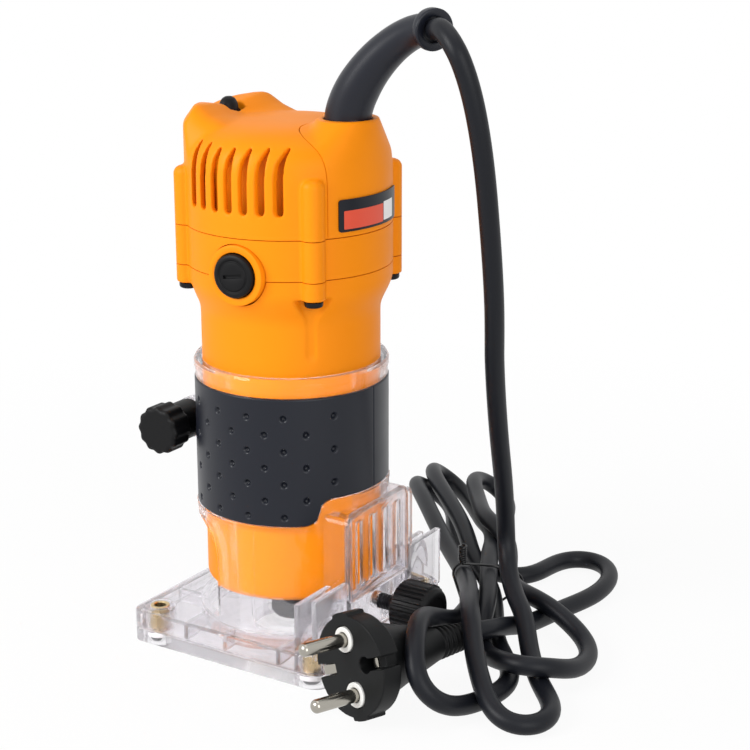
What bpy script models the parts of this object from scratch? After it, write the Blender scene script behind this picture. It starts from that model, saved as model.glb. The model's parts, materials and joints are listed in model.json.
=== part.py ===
# Trim router on a clear base, standing on its sole plate
# Metres, +Z up. The design frame has the spindle axis at x = y = 0 and the sole's underside at z = 0;
# +X is the front, with the window, the guide knob and the cord cover. The root empty then moves
# everything so that the origin is under the middle of the machine.
import math

import bmesh
import bpy
import numpy as np
from mathutils import Matrix, Vector

# Fits
GAP = 0.0003
RUN_GAP = 0.0003
OVERSHOOT = 0.002
WELD = 0.000002
LARGE_SIDES = 36
MIDDLE_SIDES = 18
SMALL_SIDES = 10

# Sole plate and flange
SOLE_FRONT = 0.041
SOLE_BACK = 0.045
SOLE_HALF_WIDTH = 0.0425
SOLE_THICKNESS = 0.005
SOLE_FRONT_CORNER = 0.0075
SOLE_BACK_CORNER = 0.004
BIT_HOLE_RADIUS = 0.016
FLANGE_HEIGHT = 0.0072
FLANGE_SKIN = 0.002
RIM_WALL = 0.0024
RIB_THICKNESS = 0.0018
SIDE_RIBS = 4
POST_RADIUS = 0.006
POST_INSET_X = 0.0085
POST_INSET_Y = 0.0065
POST_RISE = 0.0012
INSERT_RADIUS = 0.0036
INSERT_WALL = 0.0014
SOLE_SCREW_HEAD_RADIUS = 0.0036
SOLE_SCREW_HEAD_HEIGHT = 0.002

# Barrel and sleeve
BARREL_RADIUS = 0.0325
BARREL_WALL = 0.0025
BARREL_BOTTOM = 0.0244
BARREL_LENGTH = 0.1014
BARREL_FLOOR = 0.006
NOSE_BORE_RADIUS = 0.007
SLEEVE_WALL = 0.0013
GRIP_THICKNESS = 0.0011
GRIP_BOTTOM = 0.054
GRIP_HEIGHT = 0.0473
GRIP_RELIEF_HEIGHT = 0.0095
GRIP_RELIEF_HALF_ANGLE = math.radians(42)
SLEEVE_RIM_HEIGHT = 0.0072
SLIT_WIDTH = 0.0026
REAR_OPENING_TOP = 0.049
REAR_OPENING_X = 0.0105
REAR_OPENING_CORNER = 0.013

# Front of the base
WINDOW_HALF_WIDTH = 0.0189
WINDOW_TOP = 0.057
RAIL_THICKNESS = 0.0026
RAIL_REACH = 0.0032
RAIL_TOP = 0.0585
SILL_TOP = 0.0254
DEFLECTOR_THICKNESS = 0.0024
TONGUE_REACH = 0.0013
TONGUE_THICKNESS = 0.0009
DEFLECTOR_BARS = 5
DEFLECTOR_BAR_WIDTH = 0.0036
DEFLECTOR_CORNER = 0.004
FRONT_WALL_INSET = 0.0021
FRONT_WALL_THICKNESS = 0.0024
FRONT_WALL_TOP = 0.0342
INNER_WALL_SPACING = 0.0075
INNER_WALL_DROP = 0.003

# Clamp and guide knobs
CLAMP_AXIS_HEIGHT = 0.079
EAR_RADIUS = 0.0075
EAR_THICKNESS = 0.0067
CLAMP_BOLT_RADIUS = 0.0027
CLAMP_BOLT_HEAD_RADIUS = 0.005
CLAMP_BOLT_HEAD_HEIGHT = 0.0035
CLAMP_HUB_RADIUS = 0.0064
CLAMP_HUB_LENGTH = 0.0135
CLAMP_KNOB_RADIUS = 0.0092
CLAMP_KNOB_LENGTH = 0.0098
CLAMP_KNOB_LOBES = 12
CLAMP_KNOB_LOBE_DEPTH = 0.0009
GUIDE_AXIS_HEIGHT = 0.0195
GUIDE_STUD_RADIUS = 0.003
GUIDE_STUD_REACH = 0.0073
GUIDE_KNOB_RADIUS = 0.0102
GUIDE_KNOB_LENGTH = 0.0157
GUIDE_KNOB_EDGE = 0.002
GUIDE_KNOB_RIBS = 28
GUIDE_RIB_DEPTH = 0.0007

# Head
HEAD_RADIUS = 0.037
HEAD_WALL = 0.0026
FLARE_HEIGHT = 0.018
FLARE_STRAIGHT = 0.004
BAND_HEIGHT = 0.0142
COVER_STRAIGHT = 0.014
COVER_DOME = 0.0224
COVER_DOME_POWER = 3.6
COVER_DOME_STEPS = 7
BOSS_X = 0.0271
BOSS_Y = 0.0247
BOSS_RADIUS = 0.00415
BOSS_BELOW_BAND = 0.0068
BOSS_ABOVE_BAND = 0.021
HEAD_SCREW_RADIUS = 0.0016
HEAD_SCREW_HEAD_RADIUS = 0.0033
HEAD_SCREW_HEAD_HEIGHT = 0.002
SCOOP_HALF_WIDTH = 0.0033
SCOOP_HEIGHT = 0.0066
GROOVE_HALF_WIDTH = 0.0016
GROOVE_DEPTH = 0.0005
GROOVE_LENGTH = 0.017
VENT_COUNT = 7
VENT_PITCH = 0.0059
VENT_WIDTH = 0.0029
VENT_BOTTOM = 0.0082
VENT_HEIGHT = 0.0222
RIDGE_TOP = 0.0051
RIDGE_INNER_X = 0.019
RIDGE_HUMP_Y = 0.016
RIDGE_HALF_WIDTH = 0.029
RIDGE_SADDLE = 0.0034
RIDGE_SHOULDER = 0.0104
ROCKER_X = 0.0255
ROCKER_RADIUS = 0.0046
ROCKER_HALF_LENGTH = 0.0053
ROCKER_TAB = 0.0026
CORD_COVER_INNER_X = 0.0135
CORD_COVER_HALF_WIDTH = 0.0193
NAMEPLATE_HALF_ANGLE = math.radians(27)
NAMEPLATE_BOTTOM = 0.0018
NAMEPLATE_HEIGHT = 0.0112
NAMEPLATE_THICKNESS = 0.0005

# Brush gear
BRUSH_TURN = math.radians(7)
BRUSH_RISE = 0.0015
BRUSH_COLLAR_RADIUS = 0.011
BRUSH_COLLAR_REACH = 0.0008
BRUSH_CAP_RADIUS = 0.0083
BRUSH_CAP_PROUD = 0.0016
BRUSH_CAP_DEPTH = 0.0045
BRUSH_SLOT_WIDTH = 0.0014
BRUSH_SIZE_X = 0.005
BRUSH_SIZE_Z = 0.005
BRUSH_LENGTH = 0.010
HOLDER_WALL = 0.0009

# Motor inside
SHAFT_RADIUS = 0.004
BEARING_HEIGHT = 0.007
LOWER_BEARING_RADIUS = 0.011
UPPER_BEARING_RADIUS = 0.0095
BEARING_SEAT_WALL = 0.0025
BRIDGE_WIDTH = 0.016
BRIDGE_THICKNESS = 0.0022
FAN_CLEARANCE = 0.003
FAN_HEIGHT = 0.009
FAN_BLADES = 9
FAN_DISC = 0.0015
STACK_LENGTH = 0.035
ARMATURE_CLEARANCE = 0.0009
ARMATURE_SLOTS = 12
STATOR_WALL = 0.0052
COIL_DEPTH = 0.0053
COIL_OVERHANG = 0.006
COIL_HALF_ANGLE = math.radians(56)
COMMUTATOR_RADIUS = 0.0115
COMMUTATOR_LENGTH = 0.012

# Collet
COLLET_NUT_FLATS = 0.0170
COLLET_NUT_HEIGHT = 0.0095
COLLET_NUT_BOTTOM = 0.007
COLLET_RADIUS = 0.0052
SHANK_BORE_RADIUS = 0.0032
COLLET_LENGTH = 0.013
COLLET_SLITS = 3

# Cord guard and cord
GUARD_X = 0.0254
GUARD_AZIMUTH = math.radians(-8)
GUARD_ROOT_RADIUS = 0.0083
GUARD_TIP_RADIUS = 0.0053
GUARD_COLLAR_RADIUS = 0.0069
GUARD_COLLAR_LENGTH = 0.0034
GUARD_STRAIGHT = 0.0063
GUARD_ARC_REACH = 0.0355
GUARD_ARC_RISE = 0.028
GUARD_ARC = math.radians(94)
GUARD_ROOT_DEPTH = 0.012
GUARD_SEAT_WALL = 0.0026
GUARD_SEAT_RISE = 0.0018

# Cord, tied in a bundle on the floor beside the machine. The drop's shape holds shares of the way
# across to its foot, how far it stands out ahead of the guard, and shares of its fall
CORD_DIAMETER = 0.007
DROP_FOOT = (0.0631, 0.05)
DROP_FOOT_HEIGHT = 0.048
DROP_SHAPE = (
    (0, 0.0078, 0.019),
    (0.005, 0.0102, 0.047),
    (0.02, 0.0129, 0.085),
    (0.025, 0.015, 0.12),
    (0.03, 0.0182, 0.19),
    (0.045, 0.0222, 0.335),
    (0.07, 0.0248, 0.485),
    (0.12, 0.0247, 0.643),
    (0.29, 0.0201, 0.741),
    (0.46, 0.0155, 0.823),
    (0.69, 0.0082, 0.916),
)
DROP_STRAIGHT = 0.003
DROP_POINTS = 24
STRAND_CLEARANCE = 0.0014
LEAST_BEND = 0.015
BEND_SPAN = 4
LOOP_COUNT = 9
LOOP_POINTS = 24
SETTLE_STEP = 0.003
SETTLE_ROUNDS = 300
SETTLE_PUSH = 0.3
SETTLE_MOST = 0.001
SETTLE_OPEN = 0.32
SETTLE_STIFF = 0.35
SETTLE_SMOOTH = (0.04, 0.04, 0.1)
SETTLE_HOME = (0.008, 0.008, 0.002)
SETTLE_OFF = 0.4
SETTLE_FALL = 0.000008
TIE_AT = (0.055, 0.052)
TIE_HEADING = math.radians(-52)
TIE_WIRE_RADIUS = 0.0008
TIE_LIFT = 0.0026

# Plug
PLUG_FACE = (0.0585, -0.0545, 0.0196)
PLUG_AIM = (0.287, 0.954, -0.08)
PLUG_RADIUS = 0.0182
PLUG_ROLL = math.radians(-12)
PLUG_TAB = 0.0011
PLUG_TAB_HALF_WIDTH = 0.004
PLUG_DISC = 0.008
PLUG_BACK_RADIUS = 0.011
PLUG_BACK = 0.02
PLUG_TAIL_RADIUS = 0.0062
PLUG_TAIL = 0.038
PLUG_LENGTH = 0.056
PLUG_RELIEF_RADIUS = 0.0046
PLUG_RELIEF_RIBS = 3
EARTH_SLOT_WIDTH = 0.005
EARTH_SLOT_DEPTH = 0.0045
PIN_RADIUS = 0.0024
PIN_LENGTH = 0.019
PIN_SPACING = 0.019
PIN_ROOT = 0.005
COLLAR_RADIUS = 0.0044
COLLAR_PROUD = 0.0006
COLLAR_DEPTH = 0.0015

# Heights and radii worked out from the sizes above
FLANGE_BOTTOM = SOLE_THICKNESS + GAP
FLANGE_TOP = FLANGE_BOTTOM + FLANGE_HEIGHT
SLEEVE_INNER = BARREL_RADIUS + RUN_GAP
SLEEVE_MIDDLE = SLEEVE_INNER + SLEEVE_WALL
GRIP_INNER = SLEEVE_MIDDLE + GAP
SLEEVE_OUTER = GRIP_INNER + GRIP_THICKNESS
GRIP_TOP = GRIP_BOTTOM + GRIP_HEIGHT
SLEEVE_TOP = GRIP_TOP + SLEEVE_RIM_HEIGHT
FRONT_FACE = SLEEVE_OUTER + RAIL_REACH
BARREL_TOP = BARREL_BOTTOM + BARREL_LENGTH
BAND_BOTTOM = BARREL_TOP + FLARE_HEIGHT
BAND_TOP = BAND_BOTTOM + BAND_HEIGHT
COVER_BOTTOM = BAND_TOP + GAP
DOME_BOTTOM = COVER_BOTTOM + COVER_STRAIGHT
HEAD_TOP = DOME_BOTTOM + COVER_DOME
BRUSH_HEIGHT = BAND_BOTTOM + BRUSH_RISE
EAR_FACE = SLIT_WIDTH / 2 + EAR_THICKNESS
CLAMP_AXIS_X = -(math.sqrt(SLEEVE_OUTER**2 - EAR_FACE**2) + CLAMP_HUB_RADIUS + GAP)
GUIDE_NECK_X = FRONT_FACE + GAP
GUIDE_KNOB_X = max(GUIDE_NECK_X + GUIDE_STUD_REACH, SOLE_FRONT + RIM_WALL)
GUIDE_END_X = GUIDE_KNOB_X + GUIDE_KNOB_LENGTH
LOWER_BEARING_BOTTOM = BARREL_BOTTOM + BARREL_FLOOR
FAN_BOTTOM = LOWER_BEARING_BOTTOM + BEARING_HEIGHT + BEARING_SEAT_WALL + 3 * GAP
FAN_RADIUS = BARREL_RADIUS - BARREL_WALL - FAN_CLEARANCE
CORE_INNER = BARREL_RADIUS - BARREL_WALL - GAP - STATOR_WALL
ARMATURE_RADIUS = CORE_INNER - GAP - COIL_DEPTH - ARMATURE_CLEARANCE
STACK_BOTTOM = FAN_BOTTOM + FAN_HEIGHT + COIL_OVERHANG + 5 * GAP
STACK_TOP = STACK_BOTTOM + STACK_LENGTH
UPPER_BEARING_TOP = BAND_TOP - GAP
ROCKER_HEIGHT = HEAD_TOP - RIDGE_SADDLE - ROCKER_RADIUS + RIDGE_TOP
COLLET_NUT_TOP = COLLET_NUT_BOTTOM + COLLET_NUT_HEIGHT
MACHINE_LEFT = -max(SOLE_BACK, CLAMP_KNOB_RADIUS - CLAMP_AXIS_X)
MIDDLE_X = (GUIDE_END_X + MACHINE_LEFT) / 2

POSTS = [
    (x, side * (SOLE_HALF_WIDTH - POST_INSET_Y))
    for x in (POST_INSET_X - SOLE_BACK, SOLE_FRONT - POST_INSET_X)
    for side in (-1, 1)
]
BOSSES = [(x, y) for x in (-BOSS_X, BOSS_X) for y in (-BOSS_Y, BOSS_Y)]

# Point on each moving body's joint axis, and the body that carries it
BODIES = {
    "base": ((0, 0, 0), None),
    "motor": ((0, 0, BARREL_BOTTOM), "base"),
    "spindle": ((0, 0, LOWER_BEARING_BOTTOM), "motor"),
    "collet_nut_body": ((0, 0, COLLET_NUT_BOTTOM), "spindle"),
    "switch": ((-ROCKER_X, 0, ROCKER_HEIGHT), "motor"),
    "clamp": ((CLAMP_AXIS_X, -EAR_FACE, CLAMP_AXIS_HEIGHT), "base"),
    "guide": ((GUIDE_NECK_X, 0, GUIDE_AXIS_HEIGHT), "base"),
    "deflector": ((FRONT_FACE, 0, SILL_TOP), "base"),
}

# Colour, roughness, metallic and transmission of each material
MATERIALS = {
    "orange_plastic": ((0.95, 0.36, 0.01), 0.42, 0.0, 0.0),
    "clear_plastic": ((0.93, 0.92, 0.95), 0.08, 0.0, 0.9),
    "charcoal_rubber": ((0.033, 0.035, 0.047), 0.6, 0.0, 0.0),
    "black_plastic": ((0.008, 0.008, 0.01), 0.4, 0.0, 0.0),
    "cord_pvc": ((0.03, 0.03, 0.035), 0.5, 0.0, 0.0),
    "white_plastic": ((0.85, 0.85, 0.83), 0.45, 0.0, 0.0),
    "slate_label": ((0.05, 0.055, 0.07), 0.4, 0.0, 0.0),
    "brass": ((0.72, 0.5, 0.22), 0.3, 1.0, 0.0),
    "nickel": ((0.72, 0.7, 0.66), 0.22, 1.0, 0.0),
    "steel": ((0.4, 0.41, 0.42), 0.32, 1.0, 0.0),
    "black_steel": ((0.02, 0.02, 0.022), 0.35, 0.6, 0.0),
    "copper": ((0.72, 0.32, 0.15), 0.35, 1.0, 0.0),
    "carbon": ((0.02, 0.02, 0.02), 0.7, 0.0, 0.0),
}


def clear_scene():
    for obj in list(bpy.data.objects):
        bpy.data.objects.remove(obj, do_unlink=True)


def make_material(name):
    colour, roughness, metallic, transmission = MATERIALS[name]
    material = bpy.data.materials.new(name)
    material.use_nodes = True
    shader = material.node_tree.nodes["Principled BSDF"]
    shader.inputs["Base Color"].default_value = (*colour, 1)
    shader.inputs["Roughness"].default_value = roughness
    shader.inputs["Metallic"].default_value = metallic
    shader.inputs["Transmission Weight"].default_value = transmission
    return material


def make_bodies():
    empties = {}
    for name, (point, carrier) in BODIES.items():
        empty = bpy.data.objects.new(name + "_frame", None)
        bpy.context.scene.collection.objects.link(empty)
        if carrier:
            empty.parent = empties[carrier]
            empty.location = Vector(point) - Vector(BODIES[carrier][0])
        else:
            empty.location = (-MIDDLE_X, 0, 0)
        empties[name] = empty
    return empties


def finish(obj, body, material):
    """Hangs a finished piece on its body's empty and gives it its material."""
    obj.data.transform(Matrix.Translation(-Vector(BODIES[body][0])))
    obj.parent = EMPTIES[body]
    obj.data.materials.clear()
    obj.data.materials.append(PAINTS[material])
    obj.data.shade_smooth()
    obj.data.set_sharp_from_angle(angle=math.radians(35))
    return obj


def object_from(bm, name):
    bmesh.ops.remove_doubles(bm, verts=bm.verts, dist=1e-7)
    bmesh.ops.recalc_face_normals(bm, faces=bm.faces)
    mesh = bpy.data.meshes.new(name)
    bm.to_mesh(mesh)
    bm.free()
    obj = bpy.data.objects.new(name, mesh)
    bpy.context.scene.collection.objects.link(obj)
    return obj


def turned(name, profile, sides=LARGE_SIDES, at=(0, 0, 0)):
    """Spins a closed outline of (radius, height) points about a vertical axis."""
    bm = bmesh.new()
    points = [bm.verts.new((radius, 0, height)) for radius, height in profile]
    pairs = list(zip(points, points[1:] + points[:1]))
    edges = [bm.edges.new(pair) for pair in pairs if max(pair[0].co.x, pair[1].co.x) > 0]
    up, full = (0, 0, 1), 2 * math.pi
    bmesh.ops.spin(
        bm, geom=points + edges, cent=(0, 0, 0), axis=up, angle=full, steps=sides, use_merge=True
    )
    obj = object_from(bm, name)
    obj.data.transform(Matrix.Translation(at))
    return obj


def cylinder(name, radius, low, high, sides=MIDDLE_SIDES, at=(0, 0)):
    return turned(name, [(0, low), (radius, low), (radius, high), (0, high)], sides, (*at, 0))


def tube(name, inner, outer, low, high, sides=MIDDLE_SIDES, at=(0, 0)):
    return turned(name, [(inner, low), (outer, low), (outer, high), (inner, high)], sides, (*at, 0))


def extruded(name, outline, low, high):
    """Raises a flat outline of (x, y) points from one height to another."""
    bm = bmesh.new()
    face = bm.faces.new([bm.verts.new((x, y, low)) for x, y in outline])
    raised = bmesh.ops.extrude_face_region(bm, geom=[face])["geom"]
    bmesh.ops.translate(
        bm, vec=(0, 0, high - low), verts=[v for v in raised if isinstance(v, bmesh.types.BMVert)]
    )
    return object_from(bm, name)


def box(name, low, high):
    bm = bmesh.new()
    bmesh.ops.create_cube(bm, size=1)
    for vert in bm.verts:
        vert.co = [a if side < 0 else b for side, a, b in zip(vert.co, low, high)]
    return object_from(bm, name)


def swept(name, path, radii, sides):
    """A solid of round sections, one at each point of a path."""
    bm = bmesh.new()
    rings = []
    for index, (point, radius) in enumerate(zip(path, radii)):
        ahead = path[min(index + 1, len(path) - 1)] - path[max(index - 1, 0)]
        turn = ahead.to_track_quat("Z", "Y").to_matrix()
        ring = []
        for step in range(sides):
            angle = 2 * math.pi * step / sides
            ring.append(
                bm.verts.new(point + turn @ Vector((radius * math.cos(angle), radius * math.sin(angle), 0)))
            )
        rings.append(ring)
    for ring, after in zip(rings, rings[1:]):
        for step in range(sides):
            nxt = (step + 1) % sides
            bm.faces.new((ring[step], ring[nxt], after[nxt], after[step]))
    bm.faces.new(rings[0])
    bm.faces.new(rings[-1])
    return object_from(bm, name)


def aimed(obj, direction, at):
    """Turns a piece built along +Z to another direction and moves its foot there."""
    turn = Vector(direction).to_track_quat("Z", "Y").to_matrix().to_4x4()
    obj.data.transform(Matrix.Translation(at) @ turn)
    return obj


def combined(target, operation, tools):
    """Joins or cuts in millimetres, where the solver is steadier, and welds what comes out of each step."""
    target.data.transform(Matrix.Scale(1000, 4))
    for tool in tools:
        tool.data.transform(Matrix.Scale(1000, 4))
        modifier = target.modifiers.new("Combine", "BOOLEAN")
        modifier.operation = operation
        modifier.object = tool
        bpy.context.view_layer.update()
        graph = bpy.context.evaluated_depsgraph_get()
        mesh = bpy.data.meshes.new_from_object(target.evaluated_get(graph))
        target.modifiers.clear()
        bpy.data.objects.remove(tool, do_unlink=True)
        bm = bmesh.new()
        bm.from_mesh(mesh)
        bmesh.ops.remove_doubles(bm, verts=bm.verts, dist=WELD * 1000)
        bmesh.ops.dissolve_degenerate(bm, edges=bm.edges, dist=WELD * 1000)
        bm.to_mesh(mesh)
        bm.free()
        target.data = mesh
    target.data.transform(Matrix.Scale(0.001, 4))
    return target


def cut(target, *tools):
    return combined(target, "DIFFERENCE", tools)


def join(target, *tools):
    return combined(target, "UNION", tools)


def arc(cx, cy, radius, start, end, steps):
    return [
        (
            cx + radius * math.cos(start + (end - start) * k / steps),
            cy + radius * math.sin(start + (end - start) * k / steps),
        )
        for k in range(steps + 1)
    ]


def sole_outline(inset=0.0):
    """Plan of the sole, with rounder corners at the front, drawn in by an inset."""
    front, back, side = SOLE_FRONT - inset, SOLE_BACK - inset, SOLE_HALF_WIDTH - inset
    wide = max(SOLE_FRONT_CORNER - inset, GAP)
    tight = max(SOLE_BACK_CORNER - inset, GAP)
    quarter = math.pi / 2
    points = arc(front - wide, side - wide, wide, 0, quarter, 5)
    points += arc(tight - back, side - tight, tight, quarter, 2 * quarter, 3)
    points += arc(tight - back, tight - side, tight, 2 * quarter, 3 * quarter, 3)
    points += arc(front - wide, wide - side, wide, 3 * quarter, 4 * quarter, 5)
    return points


def ring_sector(inner, outer, half_angle, steps, middle=0.0):
    """Plan of part of a ring, either side of a direction."""
    points = arc(0, 0, outer, middle - half_angle, middle + half_angle, steps)
    return points + arc(0, 0, inner, middle + half_angle, middle - half_angle, steps)


def sole_plate():
    plate = extruded("sole_plate", sole_outline(), 0, SOLE_THICKNESS)
    cutters = [cylinder("hole", BIT_HOLE_RADIUS, -OVERSHOOT, SOLE_THICKNESS + OVERSHOOT, MIDDLE_SIDES)]
    head = SOLE_SCREW_HEAD_HEIGHT + 2 * GAP
    shank = INSERT_RADIUS - INSERT_WALL
    for at in POSTS:
        profile = [
            (0, -OVERSHOOT),
            (SOLE_SCREW_HEAD_RADIUS + GAP, -OVERSHOOT),
            (SOLE_SCREW_HEAD_RADIUS + GAP, head),
            (shank, head),
            (shank, SOLE_THICKNESS + OVERSHOOT),
            (0, SOLE_THICKNESS + OVERSHOOT),
        ]
        cutters.append(turned("screw_hole", profile, SMALL_SIDES, (*at, 0)))
    return finish(cut(plate, *cutters), "base", "clear_plastic")


def sole_fasteners():
    bore = INSERT_RADIUS - INSERT_WALL
    for number, at in enumerate(POSTS, 1):
        insert = tube(
            "sole_insert_%d" % number,
            bore,
            INSERT_RADIUS,
            FLANGE_BOTTOM + GAP,
            FLANGE_TOP + POST_RISE,
            SMALL_SIDES,
            at,
        )
        finish(insert, "base", "brass")
        shank = bore - GAP
        profile = [
            (0, GAP),
            (SOLE_SCREW_HEAD_RADIUS, GAP),
            (SOLE_SCREW_HEAD_RADIUS, GAP + SOLE_SCREW_HEAD_HEIGHT),
            (shank, GAP + SOLE_SCREW_HEAD_HEIGHT),
            (shank, FLANGE_TOP - FLANGE_SKIN),
            (0, FLANGE_TOP - FLANGE_SKIN),
        ]
        finish(turned("sole_screw_%d" % number, profile, SMALL_SIDES, (*at, 0)), "base", "steel")


def flange():
    """Hollow flange: a skin over a rim, posts and ribs, open below onto the sole plate."""
    body = extruded("base_body", sole_outline(), FLANGE_BOTTOM, FLANGE_TOP)
    cut(
        body, extruded("pocket", sole_outline(RIM_WALL), FLANGE_BOTTOM - OVERSHOOT, FLANGE_TOP - FLANGE_SKIN)
    )
    rib_low, rib_top = FLANGE_BOTTOM + GAP, FLANGE_TOP - FLANGE_SKIN / 2
    half = RIB_THICKNESS / 2
    rim = SOLE_HALF_WIDTH - RIM_WALL / 2
    span = SOLE_FRONT + SOLE_BACK
    ribs = []
    for k in range(1, SIDE_RIBS + 1):
        x = span * k / (SIDE_RIBS + 1) - SOLE_BACK
        for side in (-1, 1):
            low, high = sorted((side * rim, side * SLEEVE_INNER * 0.55))
            ribs.append(box("rib", (x - half, low, rib_low), (x + half, high, rib_top)))
    for y in (-SLEEVE_INNER / 2, SLEEVE_INNER / 2):
        back = RIM_WALL / 2 - SOLE_BACK
        ribs.append(box("rib", (back, y - half, rib_low), (-SLEEVE_INNER * 0.8, y + half, rib_top)))
    posts = [
        cylinder("post", POST_RADIUS, FLANGE_BOTTOM + GAP / 2, FLANGE_TOP + POST_RISE, SMALL_SIDES + 4, at)
        for at in POSTS
    ]
    return join(body, *posts, *ribs)


def sleeve_blank():
    """Sleeve before it is bored: a seat for the grip between a foot and a rim."""
    low = FLANGE_BOTTOM + 2 * GAP
    profile = [
        (0, low),
        (SLEEVE_OUTER, low),
        (SLEEVE_OUTER, GRIP_BOTTOM - GAP),
        (SLEEVE_MIDDLE, GRIP_BOTTOM - GAP),
        (SLEEVE_MIDDLE, GRIP_TOP + GAP),
        (SLEEVE_OUTER, GRIP_TOP + GAP),
        (SLEEVE_OUTER, SLEEVE_TOP - SLEEVE_WALL),
        (SLEEVE_MIDDLE, SLEEVE_TOP),
        (0, SLEEVE_TOP),
    ]
    blank = turned("sleeve", profile)
    raised = ring_sector(SLEEVE_INNER, SLEEVE_OUTER, GRIP_RELIEF_HALF_ANGLE - GAP / SLEEVE_OUTER, 10)
    return join(
        blank, extruded("raised", raised, GRIP_BOTTOM - SLEEVE_WALL, GRIP_BOTTOM + GRIP_RELIEF_HEIGHT - GAP)
    )


def front_walls():
    """Guide channel each side of the window: a tall outer wall and a lower inner one."""
    walls = []
    outer_x = SOLE_FRONT - FRONT_WALL_INSET
    inner_x = outer_x - INNER_WALL_SPACING
    foot = FLANGE_TOP - FLANGE_SKIN / 2
    for side in (-1, 1):
        near, far = WINDOW_HALF_WIDTH + RAIL_THICKNESS / 2, SOLE_HALF_WIDTH - GAP
        for x, top in ((outer_x, FRONT_WALL_TOP), (inner_x, FRONT_WALL_TOP - INNER_WALL_DROP)):
            low, high = sorted((side * near, side * far))
            walls.append(box("wall", (x - FRONT_WALL_THICKNESS, low, foot), (x, high, top)))
    return walls


def ear_outline():
    """Side view of a clamp ear, round about the bolt and square into the sleeve."""
    root = -SLEEVE_INNER
    round_end = arc(CLAMP_AXIS_X, CLAMP_AXIS_HEIGHT, EAR_RADIUS, math.pi / 2, 3 * math.pi / 2, 10)
    return round_end + [
        (root, CLAMP_AXIS_HEIGHT - 1.4 * EAR_RADIUS), (root, CLAMP_AXIS_HEIGHT + 1.4 * EAR_RADIUS)
    ]


def side_extruded(name, outline, low_y, high_y):
    """Extrudes an outline of (x, z) points along Y."""
    piece = extruded(name, [(x, -z) for x, z in outline], low_y, high_y)
    piece.data.transform(Matrix.Rotation(-math.pi / 2, 4, "X"))
    return piece


def rear_opening():
    edge, top, corner = -REAR_OPENING_X, REAR_OPENING_TOP, REAR_OPENING_CORNER
    lip = FLANGE_TOP + POST_RISE + GAP
    outline = [(-SOLE_BACK - OVERSHOOT, lip), (edge, lip)]
    outline += arc(edge - corner, top - corner, corner, 0, math.pi / 2, 6)
    outline += [(-SOLE_BACK - OVERSHOOT, top)]
    return side_extruded("rear_opening", outline, -SOLE_HALF_WIDTH, SOLE_HALF_WIDTH)


def base_body():
    body = flange()
    window = WINDOW_HALF_WIDTH + GAP
    rail = window + RAIL_THICKNESS
    front_block = box(
        "front_block", (SLEEVE_INNER * 0.8, -rail, FLANGE_TOP - FLANGE_SKIN / 2), (
            FRONT_FACE, rail, RAIL_TOP
        )
    )
    ears = side_extruded("ears", ear_outline(), -EAR_FACE, EAR_FACE)
    join(body, sleeve_blank(), front_block, ears, *front_walls())
    slot_x = SLEEVE_OUTER + GAP
    far_x = FRONT_FACE + OVERSHOOT
    groove_x = FRONT_FACE - (RAIL_REACH + TONGUE_THICKNESS) / 2 - GAP
    groove = window + TONGUE_REACH
    clear_top = RAIL_TOP + OVERSHOOT
    cut(body, cylinder("bore", SLEEVE_INNER, FLANGE_BOTTOM - OVERSHOOT, SLEEVE_TOP + OVERSHOOT, LARGE_SIDES))
    cut(
        body,
        rear_opening(),
        box("window", (SLEEVE_INNER / 2, -window, SILL_TOP), (far_x, window, WINDOW_TOP)),
        box(
            "slot",
            (slot_x, -window + GAP / 2, WINDOW_TOP - OVERSHOOT),
            (far_x + GAP, window - GAP / 2, clear_top),
        ),
        box(
            "groove",
            (groove_x, -groove, SILL_TOP + GAP),
            (groove_x + TONGUE_THICKNESS + 2 * GAP, groove, clear_top),
        ),
        box(
            "slit",
            (CLAMP_AXIS_X - EAR_RADIUS - OVERSHOOT, -SLIT_WIDTH / 2, REAR_OPENING_TOP - OVERSHOOT),
            (-SLEEVE_INNER / 2, SLIT_WIDTH / 2, SLEEVE_TOP + OVERSHOOT),
        ),
    )
    bolt_hole = cylinder(
        "bolt_hole", CLAMP_BOLT_RADIUS + GAP, -EAR_FACE - OVERSHOOT, EAR_FACE + OVERSHOOT, SMALL_SIDES
    )
    stud_hole = cylinder(
        "stud_hole", GUIDE_STUD_RADIUS + GAP, SLEEVE_INNER / 2, FRONT_FACE + OVERSHOOT, SMALL_SIDES
    )
    insert_holes = [
        cylinder(
            "insert_hole",
            INSERT_RADIUS + GAP,
            FLANGE_BOTTOM - OVERSHOOT,
            FLANGE_TOP + POST_RISE + OVERSHOOT,
            SMALL_SIDES,
            at,
        )
        for at in POSTS
    ]
    cut(
        body,
        aimed(bolt_hole, (0, 1, 0), (CLAMP_AXIS_X, 0, CLAMP_AXIS_HEIGHT)),
        aimed(stud_hole, (1, 0, 0), (0, 0, GUIDE_AXIS_HEIGHT)),
        *insert_holes,
    )
    return finish(body, "base", "clear_plastic")


def grip_sleeve():
    grip = tube("grip_sleeve", GRIP_INNER, SLEEVE_OUTER, GRIP_BOTTOM, GRIP_TOP, LARGE_SIDES)
    wide = SLEEVE_OUTER + OVERSHOOT
    relief = ring_sector(SLEEVE_INNER, wide, GRIP_RELIEF_HALF_ANGLE, 10)
    ear_room = EAR_FACE + 2 * GAP
    cut(
        grip,
        extruded("relief", relief, GRIP_BOTTOM - OVERSHOOT, GRIP_BOTTOM + GRIP_RELIEF_HEIGHT),
        box("ear_room", (-wide, -ear_room, GRIP_BOTTOM - OVERSHOOT), (0, ear_room, GRIP_TOP + OVERSHOOT)),
    )
    return finish(grip, "base", "charcoal_rubber")


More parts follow.
